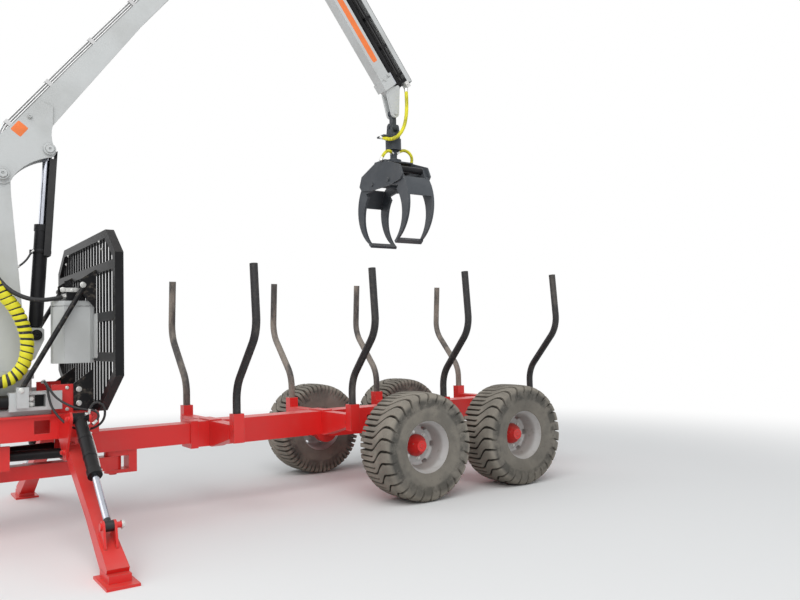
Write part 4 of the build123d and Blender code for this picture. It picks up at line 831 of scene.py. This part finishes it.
def makeLegLines(spec):
    for name, side in (("left", 1), ("right", -1)):
        body = "leg_barrel_" + name
        root = np.array(spec["root"]) * (1, side, 1)
        way = np.array(spec["way"]) * (1, side, 1)
        rise = np.array((0, -side * way[2], side * way[1]))
        run = np.linspace(*spec["pipe"], spec["steps"])
        # the pipe bows away from the barrel: root + run * way - 12 mm * rise, and rearwards by the arch
        arch = 0.040 + 0.008 * np.sin(np.pi * np.linspace(0, 1, spec["steps"])) ** 0.4
        path = root + run[:, None] * way - 0.012 * rise + arch[:, None] * np.array((-1.0, 0, 0))
        grids = [tubeGrid(path, spec["radius"], (0.1, 0.2, 1))]
        for at, lift in spec["ports"]:
            place = root + at * way + lift * rise + np.array((-0.026 if lift > 0 else -0.036, 0, 0))
            grids.append(boltHead(place, (-1, 0, 0), 0.011))
            grids.append(turned(portProfile, place, (-1, 0, 0), 20))
        makePiece("legLine_" + name, grids, zinc, body)
        clamps = [turned(clampProfile, root + at * way, way, 40) for at in spec["clamps"]]
        makePiece("legClamps_" + name, clamps, blackPaint, body, True)


# the ring round the lift cylinder's barrel that holds its pipe, with a lug on either side
collarSpec = dict(root=(1.557, 0, 1.409), way=(-0.061171, 0, 0.998127), at=0.607, profile=[
    (0.0468, -0.014), (0.0535, -0.014), (0.0555, -0.010), (0.0555, 0.010), (0.0535, 0.014), (0.0468, 0.014)],
    lugs=(1.460, 1.580), lugHalf=(0.012, 0.013), lugHeights=(1.999, 2.027), bolt=(0.062, 0.012, 0.008))


def makeLiftCollar(s):
    way = np.array(s["way"])
    middle = np.array(s["root"]) + s["at"] * way
    ring = turned(s["profile"], middle, way, 56)
    makePiece("liftCollar", [ring], blackPaint, "lift_barrel", True)
    (reach, out, size), (length, thick) = s["bolt"], s["lugHalf"]
    grids = [boltHead(middle + np.array((x, out, 0)), (0, 1, 0), size) for x in (-reach, reach)]
    grids += [uprightPlate(box(x - length, x + length, *s["lugHeights"]), -thick, thick) for x in s["lugs"]]
    makePiece("liftCollarLugs", grids, blackPaint, "lift_barrel", sharp=30)


def stickerGrid(centre, lengthWay, sideWay, outWay, length, width, lift=0.0006):
    # a superellipse: each corner point is a signed power of a cosine and a sine, in three flat rings
    angle = np.linspace(0, 2 * np.pi, 64, endpoint=False)
    c, s = np.cos(angle), np.sin(angle)
    ring = (np.sign(c) * np.abs(c) ** 0.18)[:, None] * np.asarray(lengthWay) * length / 2 \
        + (np.sign(s) * np.abs(s) ** 0.18)[:, None] * np.asarray(sideWay) * width / 2
    out = np.asarray(outWay, float)
    rows = [(0, -0.5), (1, -0.5), (1, 0.9), (0.99, 1), (0, 1)]
    return np.stack([np.asarray(centre) + share * ring + height * lift * out for share, height in rows])


# plain stickers: reach and lift are along the arm and square to it
stickerSpec = {
    "stickStripe": dict(body="stick", arm=stick, reach=1.34, lift=0.001, y=0.058, length=0.80, width=0.062),
    "boomPatch": dict(body="boom", arm=boom, reach=0.335, lift=0.117, y=0.077, length=0.088, width=0.082),
}


def makeStickers(spec):
    for name, s in spec.items():
        turn = math.radians(s["arm"][1])
        c, d = math.cos(turn), math.sin(turn)
        grids = [stickerGrid(armPoint(*s["arm"], s["reach"], s["lift"], side * s["y"]), (c, 0, d), (d, 0, -c),
                             (0, side, 0), s["length"], s["width"]) for side in (1, -1)]
        makePiece(name, grids, orangeFilm, s["body"])


makeHoses(hoseSpec)
print("hoses made")
makeWheels(tyreSpec)
print("wheels made")
makeBolts(boltSpec)
makePins(pinSpec)
makeStickers(stickerSpec)
makeTray(traySpec)
makeSheets(sheetSpec)
makeLegLines(legLineSpec)
makeLiftCollar(collarSpec)
print("fittings made")

# the floor fades to white between two distances; a lamp has its place, power in watts and size
studioSpec = dict(floorSize=60.0, fadeFrom=4.5, fadeTo=9.0, floorColour=(0.80, 0.80, 0.79), floorRough=0.9,
                  skyColour=(0.93, 0.96, 1.0), ambient=0.55, lookAt=(0, 0, 1.5),
                  lamps=dict(key=((6, 9, 12), 1500, 14), fill=((8, -4, 7), 220, 8)))


def makeSky(spec):
    # the world lights softly, and is white where the camera, a reflection or a clear piece sees it
    world = bpy.data.worlds.new("studioWorld")
    bpy.context.scene.world = world
    world.use_nodes = True
    tree = world.node_tree
    tree.nodes.clear()
    out, show, light, rays, blend, seen, both = (tree.nodes.new("ShaderNode" + kind) for kind in (
        "OutputWorld", "Background", "Background", "LightPath", "MixShader", "Math", "Math"))
    seen.operation = both.operation = "MAXIMUM"
    show.inputs[0].default_value = (1, 1, 1, 1)
    light.inputs[0].default_value = (*spec["skyColour"], 1)
    light.inputs[1].default_value = spec["ambient"]
    for start, end in ((rays.outputs["Is Camera Ray"], seen.inputs[0]),
                       (rays.outputs["Is Glossy Ray"], seen.inputs[1]),
                       (seen.outputs[0], both.inputs[0]),
                       (rays.outputs["Is Transmission Ray"], both.inputs[1]),
                       (both.outputs[0], blend.inputs[0]),
                       (light.outputs[0], blend.inputs[1]),
                       (show.outputs[0], blend.inputs[2]),
                       (blend.outputs[0], out.inputs[0])):
        tree.links.new(start, end)


def makeFloor(spec):
    half = spec["floorSize"] / 2
    mesh = bpy.data.meshes.new("studioFloor")
    corners = [(-half, -half, 0), (half, -half, 0), (half, half, 0), (-half, half, 0)]
    mesh.from_pydata(corners, [], [(0, 1, 2, 3)])
    floor = bpy.data.objects.new("studioFloor", mesh)
    collection.objects.link(floor)
    f = Finish("studioFloor")
    x, y = f.axis("X"), f.axis("Y")
    away = (x * x + y * y) ** 0.5
    f.end(Base_Color=spec["floorColour"], Roughness=spec["floorRough"])
    glow = f.node("ShaderNodeEmission", {}, {"Color": (1.0, 1.0, 1.0), "Strength": 1.0})
    fade = f.node("ShaderNodeMixShader", {}, {0: away.above(spec["fadeFrom"], spec["fadeTo"]),
                                              1: Sock(f, f.shader.outputs[0]), 2: glow})
    f.feed(f.tree.nodes["Material Output"].inputs[0], fade)
    mesh.materials.append(f.data)


def makeLamps(spec):
    for name, (place, power, size) in spec["lamps"].items():
        data = bpy.data.lights.new(name, "AREA")
        data.energy = power
        data.size = size
        lamp = bpy.data.objects.new(name, data)
        lamp.location = place
        lamp.rotation_euler = (Vector(spec["lookAt"]) - Vector(place)).to_track_quat("-Z", "Y").to_euler()
        collection.objects.link(lamp)


makeSky(studioSpec)
makeFloor(studioSpec)
makeLamps(studioSpec)
print("studio made")
